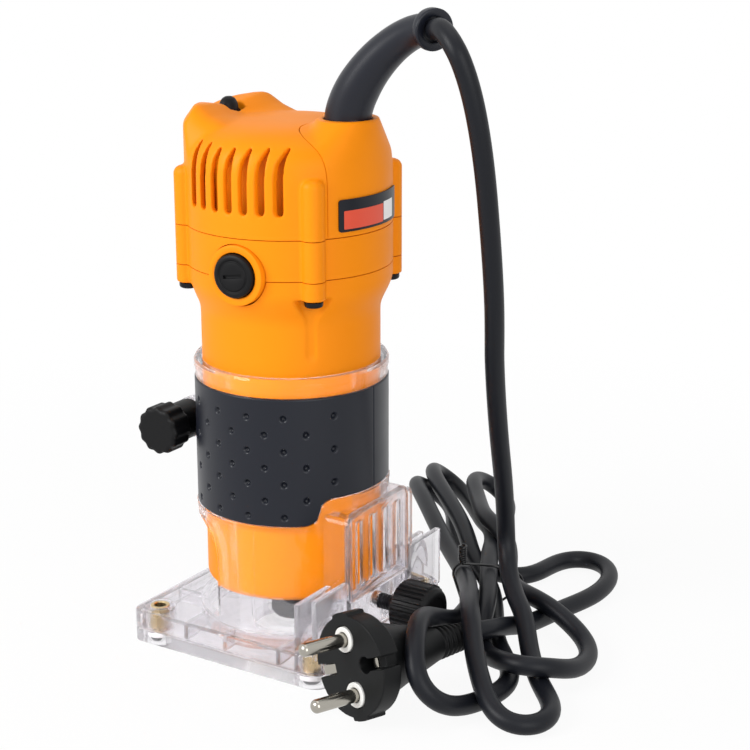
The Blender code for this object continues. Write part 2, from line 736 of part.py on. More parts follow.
def chip_deflector():
    """Clear grille that lifts out of the grooves in the rails."""
    thick_end = FRONT_FACE - GAP
    thick_start = thick_end - DEFLECTOR_THICKNESS
    low, high = SILL_TOP + GAP, RAIL_TOP
    half, corner = WINDOW_HALF_WIDTH, DEFLECTOR_CORNER
    outline = [(-half, low), (half, low)]
    outline += arc(half - corner, high - corner, corner, 0, math.pi / 2, 4)
    outline += arc(corner - half, high - corner, corner, math.pi / 2, math.pi, 4)
    grille = extruded("chip_deflector", outline, thick_start, thick_end)
    grille.data.transform(Matrix(((0, 0, 1, 0), (1, 0, 0, 0), (0, 1, 0, 0), (0, 0, 0, 1))))
    tongue_x = FRONT_FACE - (RAIL_REACH + TONGUE_THICKNESS) / 2
    reach = half + TONGUE_REACH
    tongue = box("tongue", (tongue_x, -reach, low), (tongue_x + TONGUE_THICKNESS, reach, high - corner))
    join(grille, tongue)
    pitch = (2 * half - DEFLECTOR_BAR_WIDTH) / (DEFLECTOR_BARS - 1)
    slots = []
    for k in range(DEFLECTOR_BARS - 1):
        start = DEFLECTOR_BAR_WIDTH - half + k * pitch
        end = start + pitch - DEFLECTOR_BAR_WIDTH
        bottom, top = low + DEFLECTOR_BAR_WIDTH, high - DEFLECTOR_BAR_WIDTH
        slots.append(
            box("slot", (thick_start - OVERSHOOT, start, bottom), (thick_end + OVERSHOOT, end, top))
        )
    return finish(cut(grille, *slots), "deflector", "clear_plastic")


def lobed_outline(radius, depth, lobes, steps):
    """Plan of a knob whose edge swells and dips."""
    count = lobes * steps
    points = []
    for k in range(count):
        reach = radius - depth / 2 + depth / 2 * math.cos(2 * math.pi * k / steps)
        points.append((reach * math.cos(2 * math.pi * k / count), reach * math.sin(2 * math.pi * k / count)))
    return points


def clamp_pieces():
    """Bolt across the ears, and the scalloped knob that draws them together."""
    at = (CLAMP_AXIS_X, 0, CLAMP_AXIS_HEIGHT)
    knob_start = EAR_FACE + GAP
    hub_end = knob_start + CLAMP_HUB_LENGTH
    knob_end = hub_end + CLAMP_KNOB_LENGTH
    bolt_end = hub_end + CLAMP_KNOB_LENGTH / 3
    head_start = -EAR_FACE - GAP
    profile = [
        (0, head_start - CLAMP_BOLT_HEAD_HEIGHT),
        (CLAMP_BOLT_HEAD_RADIUS, head_start - CLAMP_BOLT_HEAD_HEIGHT),
        (CLAMP_BOLT_HEAD_RADIUS, head_start),
        (CLAMP_BOLT_RADIUS, head_start),
        (CLAMP_BOLT_RADIUS, bolt_end),
        (0, bolt_end),
    ]
    finish(aimed(turned("clamp_bolt", profile, SMALL_SIDES), (0, -1, 0), at), "base", "steel")
    grip = lobed_outline(CLAMP_KNOB_RADIUS, CLAMP_KNOB_LOBE_DEPTH, CLAMP_KNOB_LOBES, 4)
    knob = extruded("clamp_knob", grip, hub_end, knob_end)
    join(knob, cylinder("hub", CLAMP_HUB_RADIUS, knob_start, hub_end + CLAMP_KNOB_LENGTH / 2, MIDDLE_SIDES))
    cut(
        knob,
        cylinder("bolt_room", CLAMP_BOLT_RADIUS + GAP, knob_start - OVERSHOOT, bolt_end + GAP, SMALL_SIDES),
    )
    finish(aimed(knob, (0, -1, 0), at), "clamp", "black_plastic")


def guide_pieces():
    """Thumb screw for the side guide: a ribbed knob on a threaded stud."""
    at = (0, 0, GUIDE_AXIS_HEIGHT)
    stud_end = GUIDE_KNOB_X + GUIDE_KNOB_LENGTH / 2
    stud = cylinder("guide_stud", GUIDE_STUD_RADIUS, SLEEVE_INNER + 2 * GAP, stud_end, SMALL_SIDES)
    finish(aimed(stud, (1, 0, 0), at), "guide", "black_steel")
    ribs = lobed_outline(GUIDE_KNOB_RADIUS, GUIDE_RIB_DEPTH, GUIDE_KNOB_RIBS, 2)
    knob = extruded("guide_knob", ribs, GUIDE_KNOB_X + GUIDE_KNOB_EDGE, GUIDE_END_X - GUIDE_KNOB_EDGE)
    plain = GUIDE_KNOB_RADIUS - GUIDE_RIB_DEPTH
    profile = [
        (0, GUIDE_KNOB_X),
        (plain - GAP, GUIDE_KNOB_X),
        (plain - GAP, GUIDE_END_X - GUIDE_KNOB_EDGE / 2),
        (plain - GUIDE_KNOB_EDGE, GUIDE_END_X),
        (0, GUIDE_END_X),
    ]
    join(knob, turned("core", profile, MIDDLE_SIDES))
    cut(
        knob,
        cylinder(
            "stud_room", GUIDE_STUD_RADIUS + GAP, GUIDE_KNOB_X - OVERSHOOT, stud_end + GAP, SMALL_SIDES
        ),
    )
    finish(aimed(knob, (1, 0, 0), at), "guide", "black_plastic")


def brush_out(side):
    """Direction of a brush, a little off the square of the machine."""
    return (-side * math.sin(BRUSH_TURN), side * math.cos(BRUSH_TURN), 0)


def brush_cylinders(name, radius, start, end, sides=MIDDLE_SIDES):
    """One cylinder along each brush axis, from a distance off the spindle to another."""
    return [
        aimed(cylinder(name, radius, start, end, sides), brush_out(side), (0, 0, BRUSH_HEIGHT))
        for side in (-1, 1)
    ]


def screw_rooms(low, high, radius):
    return [cylinder("screw_room", radius, low, high, SMALL_SIDES, at) for at in BOSSES]


def scoop(x, y):
    """Hollow below a boss that lets a driver reach the screw, running out in a groove down the barrel."""
    ahead = Vector((x, y, 0)).normalized()
    across = Vector((-ahead.y, ahead.x, 0))
    top = BAND_BOTTOM - BOSS_BELOW_BAND
    outer = HEAD_RADIUS + OVERSHOOT
    rings = []
    for fall, floor, half in (
        (0, BARREL_RADIUS + GROOVE_DEPTH, SCOOP_HALF_WIDTH),
        (SCOOP_HEIGHT, BARREL_RADIUS - GROOVE_DEPTH / 2, GROOVE_HALF_WIDTH),
        (0.8 * GROOVE_LENGTH + SCOOP_HEIGHT, BARREL_RADIUS - GROOVE_DEPTH, GROOVE_HALF_WIDTH),
        (GROOVE_LENGTH + SCOOP_HEIGHT, BARREL_RADIUS + GROOVE_DEPTH / 2, GROOVE_HALF_WIDTH / 4),
    ):
        wide = half + outer - floor
        corners = ((floor, -half), (floor, half), (outer, wide), (outer, -wide))
        rings.append([ahead * out + across * side + Vector((0, 0, top - fall)) for out, side in corners])
    bm = bmesh.new()
    loops = [[bm.verts.new(point) for point in ring] for ring in rings]
    for loop, after in zip(loops, loops[1:]):
        for k in range(4):
            bm.faces.new((loop[k], loop[(k + 1) % 4], after[(k + 1) % 4], after[k]))
    bm.faces.new(loops[0])
    bm.faces.new(loops[-1])
    return object_from(bm, "scoop")


def motor_housing():
    """Barrel, flare and brush collars in one moulding, with the lower bearing's seat in its floor."""
    inner = BARREL_RADIUS - BARREL_WALL
    seat = LOWER_BEARING_RADIUS + GAP
    flare_end = BAND_BOTTOM - FLARE_STRAIGHT
    rise = flare_end - BARREL_TOP
    step = HEAD_RADIUS - BARREL_RADIUS
    flare = [
        (BARREL_RADIUS + step * (1 - math.cos(math.pi * t)) / 2, BARREL_TOP + rise * t) for t in (
            0, 0.25, 0.5, 0.75, 1
        )
    ]
    profile = [
        (NOSE_BORE_RADIUS, BARREL_BOTTOM),
        (BARREL_RADIUS - BARREL_WALL / 2, BARREL_BOTTOM),
        (BARREL_RADIUS, BARREL_BOTTOM + BARREL_WALL / 2),
        *flare,
        (HEAD_RADIUS, BAND_BOTTOM - GAP / 2),
        (HEAD_RADIUS - HEAD_WALL, BAND_BOTTOM - GAP / 2),
        (HEAD_RADIUS - HEAD_WALL, flare_end),
        (inner, BARREL_TOP),
        (inner, LOWER_BEARING_BOTTOM),
        (seat + BEARING_SEAT_WALL, LOWER_BEARING_BOTTOM),
        (seat + BEARING_SEAT_WALL, LOWER_BEARING_BOTTOM + BEARING_HEIGHT),
        (seat, LOWER_BEARING_BOTTOM + BEARING_HEIGHT),
        (seat, LOWER_BEARING_BOTTOM - GAP),
        (NOSE_BORE_RADIUS, LOWER_BEARING_BOTTOM - GAP),
    ]
    body = turned("motor_housing", profile)
    boss_low = BAND_BOTTOM - BOSS_BELOW_BAND
    added = [
        cylinder("boss", BOSS_RADIUS, boss_low, BAND_BOTTOM - GAP / 2, SMALL_SIDES, at) for at in BOSSES
    ]
    collar_end = HEAD_RADIUS + BRUSH_COLLAR_REACH
    collar_start = HEAD_RADIUS - HEAD_WALL - 2 * BRUSH_COLLAR_REACH
    join(body, *added, *brush_cylinders("collar", BRUSH_COLLAR_RADIUS, collar_start, collar_end))
    cut(
        body,
        *[scoop(x, y) for x, y in BOSSES],
        *screw_rooms(boss_low - 2 * HEAD_SCREW_HEAD_HEIGHT, boss_low, HEAD_SCREW_HEAD_RADIUS + GAP),
        *screw_rooms(boss_low - OVERSHOOT, BAND_BOTTOM + OVERSHOOT, HEAD_SCREW_RADIUS + GAP),
        *brush_cylinders("cap_room", BRUSH_CAP_RADIUS + GAP, BARREL_RADIUS / 2, collar_end + OVERSHOOT),
    )
    return finish(body, "motor", "orange_plastic")


def middle_band():
    """Ring between housing and cover, with the bridge that carries the upper bearing."""
    low, high = BAND_BOTTOM + GAP / 2, BAND_TOP
    inner = HEAD_RADIUS - HEAD_WALL
    seat = UPPER_BEARING_RADIUS + GAP
    seat_low = UPPER_BEARING_TOP - BEARING_HEIGHT - BRIDGE_THICKNESS
    band = tube("middle_band", inner, HEAD_RADIUS, low, high, LARGE_SIDES)
    bosses = [cylinder("boss", BOSS_RADIUS, low, high, SMALL_SIDES, at) for at in BOSSES]
    reach = HEAD_RADIUS - HEAD_WALL / 2
    bridge = box(
        "bridge", (-reach, -BRIDGE_WIDTH / 2, high - BRIDGE_THICKNESS), (reach, BRIDGE_WIDTH / 2, high - GAP)
    )
    hub = cylinder("hub", seat + BEARING_SEAT_WALL, seat_low, high - 2 * GAP, MIDDLE_SIDES)
    join(band, *bosses, bridge, hub)
    cut(
        band,
        cylinder("seat", seat, UPPER_BEARING_TOP - BEARING_HEIGHT - GAP, high + OVERSHOOT, MIDDLE_SIDES),
        cylinder("shaft_room", SHAFT_RADIUS + 2 * GAP, seat_low - OVERSHOOT, high, MIDDLE_SIDES),
        *brush_cylinders(
            "collar_room", BRUSH_COLLAR_RADIUS + GAP, BARREL_RADIUS / 2, HEAD_RADIUS + OVERSHOOT * 2
        ),
        *screw_rooms(low - OVERSHOOT, high + OVERSHOOT, HEAD_SCREW_RADIUS + GAP),
    )
    return finish(band, "motor", "orange_plastic")


def dome_profile(radius, rise, steps):
    """Side of the cover: straight below, then a full-bodied curve into the top."""
    points = []
    for k in range(steps + 1):
        angle = math.pi / 2 * k / steps
        share = 2 / COVER_DOME_POWER
        across = max(math.cos(angle), 0) ** share if k < steps else 0
        points.append((radius * across, DOME_BOTTOM + rise * math.sin(angle) ** share))
    return points


def dome_shell(name):
    outer = dome_profile(HEAD_RADIUS, COVER_DOME, COVER_DOME_STEPS)
    inner = dome_profile(HEAD_RADIUS - HEAD_WALL, COVER_DOME - HEAD_WALL, COVER_DOME_STEPS - 3)
    low_outer, low_inner = (outer[0][0], COVER_BOTTOM), (inner[0][0], COVER_BOTTOM)
    return turned(name, [low_inner, low_outer, *outer, *inner[::-1]])


def ridge():
    """Switch ridge along the back edge: a hump each side of a saddle, inside the head's round outline."""
    top = HEAD_TOP + RIDGE_TOP
    low = HEAD_TOP - RIDGE_SHOULDER
    outline = []
    for k in range(-12, 13):
        y = RIDGE_HALF_WIDTH * k / 12
        off = abs(y) - RIDGE_HUMP_Y
        drop = RIDGE_SADDLE * (off / RIDGE_HUMP_Y) ** 2
        if off > 0:
            drop = (top - low) * (off / (RIDGE_HALF_WIDTH - RIDGE_HUMP_Y)) ** 2.6
        outline.append((y, top - drop))
    outline = [(-RIDGE_HALF_WIDTH, low - RIDGE_SADDLE)] + outline + [(RIDGE_HALF_WIDTH, low - RIDGE_SADDLE)]
    block = extruded("ridge", outline, -HEAD_RADIUS - OVERSHOOT, -RIDGE_INNER_X)
    block.data.transform(Matrix(((0, 0, 1, 0), (1, 0, 0, 0), (0, 1, 0, 0), (0, 0, 0, 1))))
    edge = HEAD_RADIUS - GAP
    drum = turned(
        "drum",
        [
            (0, low - 2 * RIDGE_SADDLE),
            (edge, low - 2 * RIDGE_SADDLE),
            (edge, HEAD_TOP - RIDGE_SADDLE),
            (edge - RIDGE_SADDLE, top + GAP),
            (0, top + GAP),
        ],
    )
    return combined(block, "INTERSECT", [drum])


def vent_cutters():
    cutters = []
    half = VENT_WIDTH / 2
    low = COVER_BOTTOM + VENT_BOTTOM
    high = low + VENT_HEIGHT
    for k in range(VENT_COUNT):
        x = (k - (VENT_COUNT - 1) / 2) * VENT_PITCH
        outline = arc(x, low + half, half, math.pi, 2 * math.pi, 2) + arc(
            x, high - half, half, 0, math.pi, 2
        )
        for side in (-1, 1):
            near, far = sorted((side * HEAD_RADIUS * 0.66, side * (HEAD_RADIUS + OVERSHOOT)))
            cutters.append(side_extruded("vent", outline, near, far))
    return cutters


def cover_boss(at):
    """Corner boss on the cover with a rounded top."""
    low, high = COVER_BOTTOM, BAND_TOP + BOSS_ABOVE_BAND
    return turned(
        "boss",
        [
            (0, low),
            (BOSS_RADIUS, low),
            (BOSS_RADIUS, high - BOSS_RADIUS / 2),
            (BOSS_RADIUS * 0.7, high - BOSS_RADIUS / 8),
            (0, high),
        ],
        SMALL_SIDES,
        (*at, 0),
    )


def top_cover():
    cover = dome_shell("top_cover")
    join(cover, ridge())
    bosses = [cover_boss(at) for at in BOSSES]
    join(cover, *bosses)
    room = ROCKER_RADIUS + 2 * GAP
    pocket_low = ROCKER_HEIGHT - room
    screw_top = BAND_TOP + BOSS_ABOVE_BAND / 2
    pocket = box(
        "switch_pocket",
        (-ROCKER_X - room, -ROCKER_HALF_LENGTH - GAP, pocket_low),
        (-ROCKER_X + room, ROCKER_HALF_LENGTH + GAP, HEAD_TOP + RIDGE_TOP + OVERSHOOT),
    )
    opening = box(
        "cord_opening",
        (CORD_COVER_INNER_X, -CORD_COVER_HALF_WIDTH, COVER_BOTTOM - OVERSHOOT),
        (HEAD_RADIUS + OVERSHOOT, CORD_COVER_HALF_WIDTH, HEAD_TOP + OVERSHOOT),
    )
    cut(cover, *vent_cutters())
    cut(cover, pocket, opening, *screw_rooms(COVER_BOTTOM - OVERSHOOT, screw_top, HEAD_SCREW_RADIUS + GAP))
    return finish(cover, "motor", "orange_plastic")


def cord_cover():
    """Front part of the head, with the raised seat that holds the cord guard."""
    cover = dome_shell("cord_cover")
    half = CORD_COVER_HALF_WIDTH - GAP
    keep = box(
        "keep", (CORD_COVER_INNER_X + GAP, -half, COVER_BOTTOM - OVERSHOOT), (
            HEAD_RADIUS + OVERSHOOT, half, HEAD_TOP + OVERSHOOT
        )
    )
    combined(cover, "INTERSECT", [keep])
    seat = GUARD_ROOT_RADIUS + GAP
    top = HEAD_TOP + GUARD_SEAT_RISE
    ring = cylinder("ring", seat + GUARD_SEAT_WALL, top - GUARD_ROOT_DEPTH, top, MIDDLE_SIDES, (GUARD_X, 0))
    join(cover, ring)
    cut(
        cover,
        cylinder(
            "guard_room", seat, top - 2 * GUARD_ROOT_DEPTH, top + OVERSHOOT, MIDDLE_SIDES, (GUARD_X, 0)
        ),
    )
    return finish(cover, "motor", "orange_plastic")


def nameplate():
    inner = HEAD_RADIUS + GAP / 2
    low = COVER_BOTTOM + NAMEPLATE_BOTTOM
    outline = ring_sector(inner, inner + NAMEPLATE_THICKNESS, NAMEPLATE_HALF_ANGLE, 8)
    finish(extruded("nameplate", outline, low, low + NAMEPLATE_HEIGHT), "motor", "slate_label")


def head_screws():
    head = BAND_BOTTOM - BOSS_BELOW_BAND - GAP
    top = BAND_TOP + BOSS_ABOVE_BAND / 2 - 2 * GAP
    profile = [
        (0, head - HEAD_SCREW_HEAD_HEIGHT),
        (HEAD_SCREW_HEAD_RADIUS, head - HEAD_SCREW_HEAD_HEIGHT),
        (HEAD_SCREW_HEAD_RADIUS, head),
        (HEAD_SCREW_RADIUS, head),
        (HEAD_SCREW_RADIUS, top),
        (0, top),
    ]
    for number, at in enumerate(BOSSES, 1):
        finish(turned("head_screw_%d" % number, profile, SMALL_SIDES, (*at, 0)), "motor", "black_steel")


def brush_gear():
    """On each side: screwed cap, brass holder and the carbon brush that bears on the commutator."""
    face = HEAD_RADIUS + BRUSH_COLLAR_REACH + BRUSH_CAP_PROUD
    back = face - BRUSH_CAP_DEPTH
    edge = BRUSH_CAP_RADIUS - BRUSH_CAP_PROUD / 2
    profile = [
        (0, back),
        (BRUSH_CAP_RADIUS, back),
        (BRUSH_CAP_RADIUS, face - BRUSH_CAP_PROUD / 2),
        (edge, face),
        (0, face),
    ]
    brush_start = COMMUTATOR_RADIUS + GAP
    holder_start = brush_start + BRUSH_LENGTH / 4
    holder_end = back - GAP
    slot = BRUSH_SLOT_WIDTH / 2
    across = 0.6 * BRUSH_CAP_RADIUS
    for number, side in ((1, -1), (2, 1)):
        cap = turned("brush_cap_%d" % number, profile, MIDDLE_SIDES)
        cut(cap, box("slot", (-across, -slot, face - BRUSH_CAP_PROUD / 2), (across, slot, face + OVERSHOOT)))
        holder = holder_box("brush_holder_%d" % number, HOLDER_WALL + GAP, holder_start, holder_end)
        cut(holder, holder_box("bore", GAP, holder_start - OVERSHOOT, holder_end + OVERSHOOT))
        brush = holder_box("carbon_brush_%d" % number, 0, brush_start, brush_start + BRUSH_LENGTH)
        for piece, paint in ((cap, "black_plastic"), (holder, "brass"), (brush, "carbon")):
            finish(aimed(piece, brush_out(side), (0, 0, BRUSH_HEIGHT)), "motor", paint)


def holder_box(name, margin, start, end):
    """Square section along the brush axis, a margin larger than the brush."""
    half_x, half_z = BRUSH_SIZE_X / 2 + margin, BRUSH_SIZE_Z / 2 + margin
    return box(name, (-half_x, -half_z, start), (half_x, half_z, end))


def stator():
    outer = BARREL_RADIUS - BARREL_WALL - GAP
    finish(tube("stator_core", CORE_INNER, outer, STACK_BOTTOM, STACK_TOP, LARGE_SIDES), "motor", "steel")
    inner = ARMATURE_RADIUS + ARMATURE_CLEARANCE
    low, high = STACK_BOTTOM - COIL_OVERHANG, STACK_TOP + COIL_OVERHANG
    for number, middle in ((1, 0), (2, math.pi)):
        outline = ring_sector(inner, CORE_INNER - GAP, COIL_HALF_ANGLE, 8, middle)
        finish(extruded("field_coil_%d" % number, outline, low, high), "motor", "copper")


def bearings():
    for name, radius, low in (
        ("lower_bearing", LOWER_BEARING_RADIUS, LOWER_BEARING_BOTTOM),
        ("upper_bearing", UPPER_BEARING_RADIUS, UPPER_BEARING_TOP - BEARING_HEIGHT),
    ):
        ring = tube(name, SHAFT_RADIUS + GAP, radius, low, low + BEARING_HEIGHT - GAP, MIDDLE_SIDES)
        finish(ring, "motor", "steel")


def slotted_outline(radius, slots, depth, share):
    """Round plan with open slots, as an armature stack has."""
    points = []
    pitch = 2 * math.pi / slots
    for k in range(slots):
        middle = k * pitch
        for angle, reach in (
            (-0.5, radius),
            (-share / 2, radius),
            (-share / 2, radius - depth),
            (share / 2, radius - depth),
            (share / 2, radius),
        ):
            points.append(
                (reach * math.cos(middle + angle * pitch), reach * math.sin(middle + angle * pitch))
            )
    return points


def spindle_pieces():
    """Shaft with its nose, armature, commutator and cooling fan."""
    nose = NOSE_BORE_RADIUS - 3 * GAP
    nose_top = LOWER_BEARING_BOTTOM - GAP
    socket = COLLET_RADIUS + GAP
    socket_top = COLLET_NUT_BOTTOM + COLLET_LENGTH + GAP
    nose_low = COLLET_NUT_TOP + GAP
    profile = [
        (socket, nose_low),
        (nose, nose_low),
        (nose, nose_top),
        (SHAFT_RADIUS, nose_top),
        (SHAFT_RADIUS, UPPER_BEARING_TOP - GAP),
        (0, UPPER_BEARING_TOP - GAP),
        (0, socket_top),
        (socket, socket_top),
    ]
    finish(turned("spindle_shaft", profile, MIDDLE_SIDES), "spindle", "steel")
    bore = SHAFT_RADIUS + GAP
    stack = extruded(
        "armature_core",
        slotted_outline(ARMATURE_RADIUS, ARMATURE_SLOTS, 0.3 * ARMATURE_RADIUS, 0.3),
        STACK_BOTTOM,
        STACK_TOP,
    )
    cut(stack, cylinder("bore", bore, STACK_BOTTOM - OVERSHOOT, STACK_TOP + OVERSHOOT, MIDDLE_SIDES))
    finish(stack, "spindle", "steel")
    top = BRUSH_HEIGHT + BRUSH_SIZE_Z / 2 + GAP
    segments = tube("commutator", bore, COMMUTATOR_RADIUS, top - COMMUTATOR_LENGTH, top, MIDDLE_SIDES)
    finish(segments, "spindle", "copper")
    finish(fan(bore), "spindle", "black_plastic")


def fan(bore):
    wheel = tube("cooling_fan", bore, FAN_RADIUS, FAN_BOTTOM, FAN_BOTTOM + FAN_DISC, MIDDLE_SIDES)
    hub = tube(
        "hub", bore, 2 * SHAFT_RADIUS, FAN_BOTTOM + FAN_DISC / 3, FAN_BOTTOM + FAN_HEIGHT, MIDDLE_SIDES
    )
    blades = []
    for k in range(FAN_BLADES):
        blade = box(
            "blade",
            (1.5 * SHAFT_RADIUS, -FAN_DISC / 2, FAN_BOTTOM + FAN_DISC / 2),
            (FAN_RADIUS - FAN_DISC, FAN_DISC / 2, FAN_BOTTOM + FAN_HEIGHT - FAN_DISC),
        )
        blade.data.transform(Matrix.Rotation(2 * math.pi * k / FAN_BLADES, 4, "Z"))
        blades.append(blade)
    return join(wheel, hub, *blades)


def collet_pieces():
    """Slit collet in the shaft's nose, and the hexagon nut that closes it."""
    bore = SHANK_BORE_RADIUS
    low = COLLET_NUT_BOTTOM + GAP
    high = COLLET_NUT_BOTTOM + COLLET_LENGTH
    collet = tube("collet", bore, COLLET_RADIUS, low, high, MIDDLE_SIDES)
    slits = []
    for k in range(COLLET_SLITS):
        slit = box("slit", (0, -GAP, low - OVERSHOOT), (2 * COLLET_RADIUS, GAP, high - COLLET_LENGTH / 4))
        slit.data.transform(Matrix.Rotation(2 * math.pi * (k + 0.25) / COLLET_SLITS, 4, "Z"))
        slits.append(slit)
    finish(cut(collet, *slits), "spindle", "steel")
    corner = COLLET_NUT_FLATS / math.sqrt(3)
    hexagon = arc(0, 0, corner, 0, 5 * math.pi / 3, 5)
    nut = extruded("collet_nut", hexagon, COLLET_NUT_BOTTOM, COLLET_NUT_TOP)
    cone = turned(
        "chamfer",
        [
            (0, COLLET_NUT_BOTTOM - GAP),
            (COLLET_NUT_FLATS * 0.47, COLLET_NUT_BOTTOM - GAP),
            (COLLET_NUT_FLATS * 0.6, COLLET_NUT_BOTTOM + COLLET_NUT_HEIGHT / 3),
            (COLLET_NUT_FLATS * 0.6, COLLET_NUT_TOP + OVERSHOOT),
            (0, COLLET_NUT_TOP + OVERSHOOT),
        ],
        MIDDLE_SIDES,
    )
    combined(nut, "INTERSECT", [cone])
    cut(
        nut,
        cylinder(
            "collet_room",
            COLLET_RADIUS + GAP,
            COLLET_NUT_BOTTOM - OVERSHOOT,
            COLLET_NUT_TOP + OVERSHOOT,
            MIDDLE_SIDES,
        ),
    )
    finish(nut, "collet_nut_body", "black_steel")


def switch_rocker():
    """Rocker between the humps, turning about a pin across the machine."""
    rocker = cylinder("switch_rocker", ROCKER_RADIUS, -ROCKER_HALF_LENGTH, ROCKER_HALF_LENGTH, MIDDLE_SIDES)
    aimed(rocker, (0, 1, 0), (-ROCKER_X, 0, ROCKER_HEIGHT))
    half_x, half_y = ROCKER_RADIUS / 2, 0.8 * ROCKER_HALF_LENGTH
    tab = box(
        "tab",
        (-ROCKER_X - half_x, -half_y, ROCKER_HEIGHT),
        (-ROCKER_X + half_x, half_y, ROCKER_HEIGHT + ROCKER_RADIUS + ROCKER_TAB),
    )
    finish(join(rocker, tab), "switch", "black_plastic")


def guard_path():
    """Centre line of the cord guard: straight out of its seat, then bent over towards the side."""
    out = Vector((math.cos(GUARD_AZIMUTH), math.sin(GUARD_AZIMUTH), 0))
    foot = Vector((GUARD_X, 0, 0))
    bend = HEAD_TOP + GUARD_STRAIGHT
    points = [foot + Vector((0, 0, HEAD_TOP - GUARD_ROOT_DEPTH)), foot + Vector((0, 0, HEAD_TOP))]
    steps = 12
    for k in range(steps + 1):
        angle = GUARD_ARC * k / steps
        across = GUARD_ARC_REACH * (1 - math.cos(angle))
        points.append(foot + out * across + Vector((0, 0, bend + GUARD_ARC_RISE * math.sin(angle))))
    return points


def guard_end():
    """Where the cord leaves the guard, and in which direction."""
    path = guard_path()
    return path[-1], (path[-1] - path[-2]).normalized()


def cord_guard():
    """Tapered guard that ends in a collar, where the cord comes out."""
    whole = guard_path()
    tip, end = guard_end()
    collar_start = tip - end * GUARD_COLLAR_LENGTH
    path, radii = [], []
    for k, point in enumerate(whole):
        if (tip - point).length > GUARD_COLLAR_LENGTH + GUARD_TIP_RADIUS / 4:
            share = max(k - 1, 0) / (len(whole) - 2)
            path.append(point)
            radii.append(GUARD_ROOT_RADIUS + (GUARD_TIP_RADIUS - GUARD_ROOT_RADIUS) * share)
    path += [collar_start, collar_start + end * GAP, tip]
    radii += [GUARD_TIP_RADIUS, GUARD_COLLAR_RADIUS, GUARD_COLLAR_RADIUS]
    finish(swept("cord_guard", path, radii, SMALL_SIDES + 4), "motor", "charcoal_rubber")


def even_points(path, count):
    """The same path with its points at even spacing."""
    lengths = np.concatenate(([0], np.cumsum(np.linalg.norm(np.diff(path, axis=0), axis=1))))
    places = np.linspace(0, lengths[-1], count)
    return np.stack([np.interp(places, lengths, path[:, axis]) for axis in range(3)], axis=1)


def path_length(path):
    return np.linalg.norm(np.diff(path, axis=0), axis=1).sum()


def smooth_path(points, count):
    """Smooth curve through a route's points (centripetal Catmull-Rom), evenly spaced."""
    points = np.array(points)
    ends = (2 * points[:1] - points[1:2], points, 2 * points[-1:] - points[-2:-1])
    route = np.concatenate(ends)
    curve = []
    for p0, p1, p2, p3 in zip(route, route[1:], route[2:], route[3:]):
        t1 = np.linalg.norm(p1 - p0) ** 0.5
        t2 = t1 + np.linalg.norm(p2 - p1) ** 0.5
        t3 = t2 + np.linalg.norm(p3 - p2) ** 0.5
        for t in np.linspace(t1, t2, 24, endpoint=False):
            a1 = p0 + (p1 - p0) * t / t1
            a2 = p1 + (p2 - p1) * (t - t1) / (t2 - t1)
            a3 = p2 + (p3 - p2) * (t - t2) / (t3 - t2)
            b1 = a1 + (a2 - a1) * t / t2
            b2 = a2 + (a3 - a2) * (t - t1) / (t3 - t1)
            curve.append(b1 + (b2 - b1) * (t - t1) / (t2 - t1))
    curve.append(points[-1])
    return even_points(np.array(curve), count)


def fold(x, y, z, heading, radius, tilt, turn):
    """Half turn at the end of a loop, leaning so that the run that comes in is the higher one."""
    bearing, lean = math.radians(heading), math.radians(tilt)
    ahead = np.array((math.cos(bearing), math.sin(bearing), 0))
    side = np.array((turn * ahead[1] * math.cos(lean), -turn * ahead[0] * math.cos(lean), math.sin(lean)))
    centre = np.array((x, y, z))
    return [
        centre + radius * (math.cos(a) * ahead + math.sin(a) * side)
        for a in np.radians((90, 45, 0, -45, -90))
    ]


def plug_axis():
    return np.array(Vector(PLUG_AIM).normalized())


def drop_foot():
    return np.array((*DROP_FOOT, DROP_FOOT_HEIGHT))


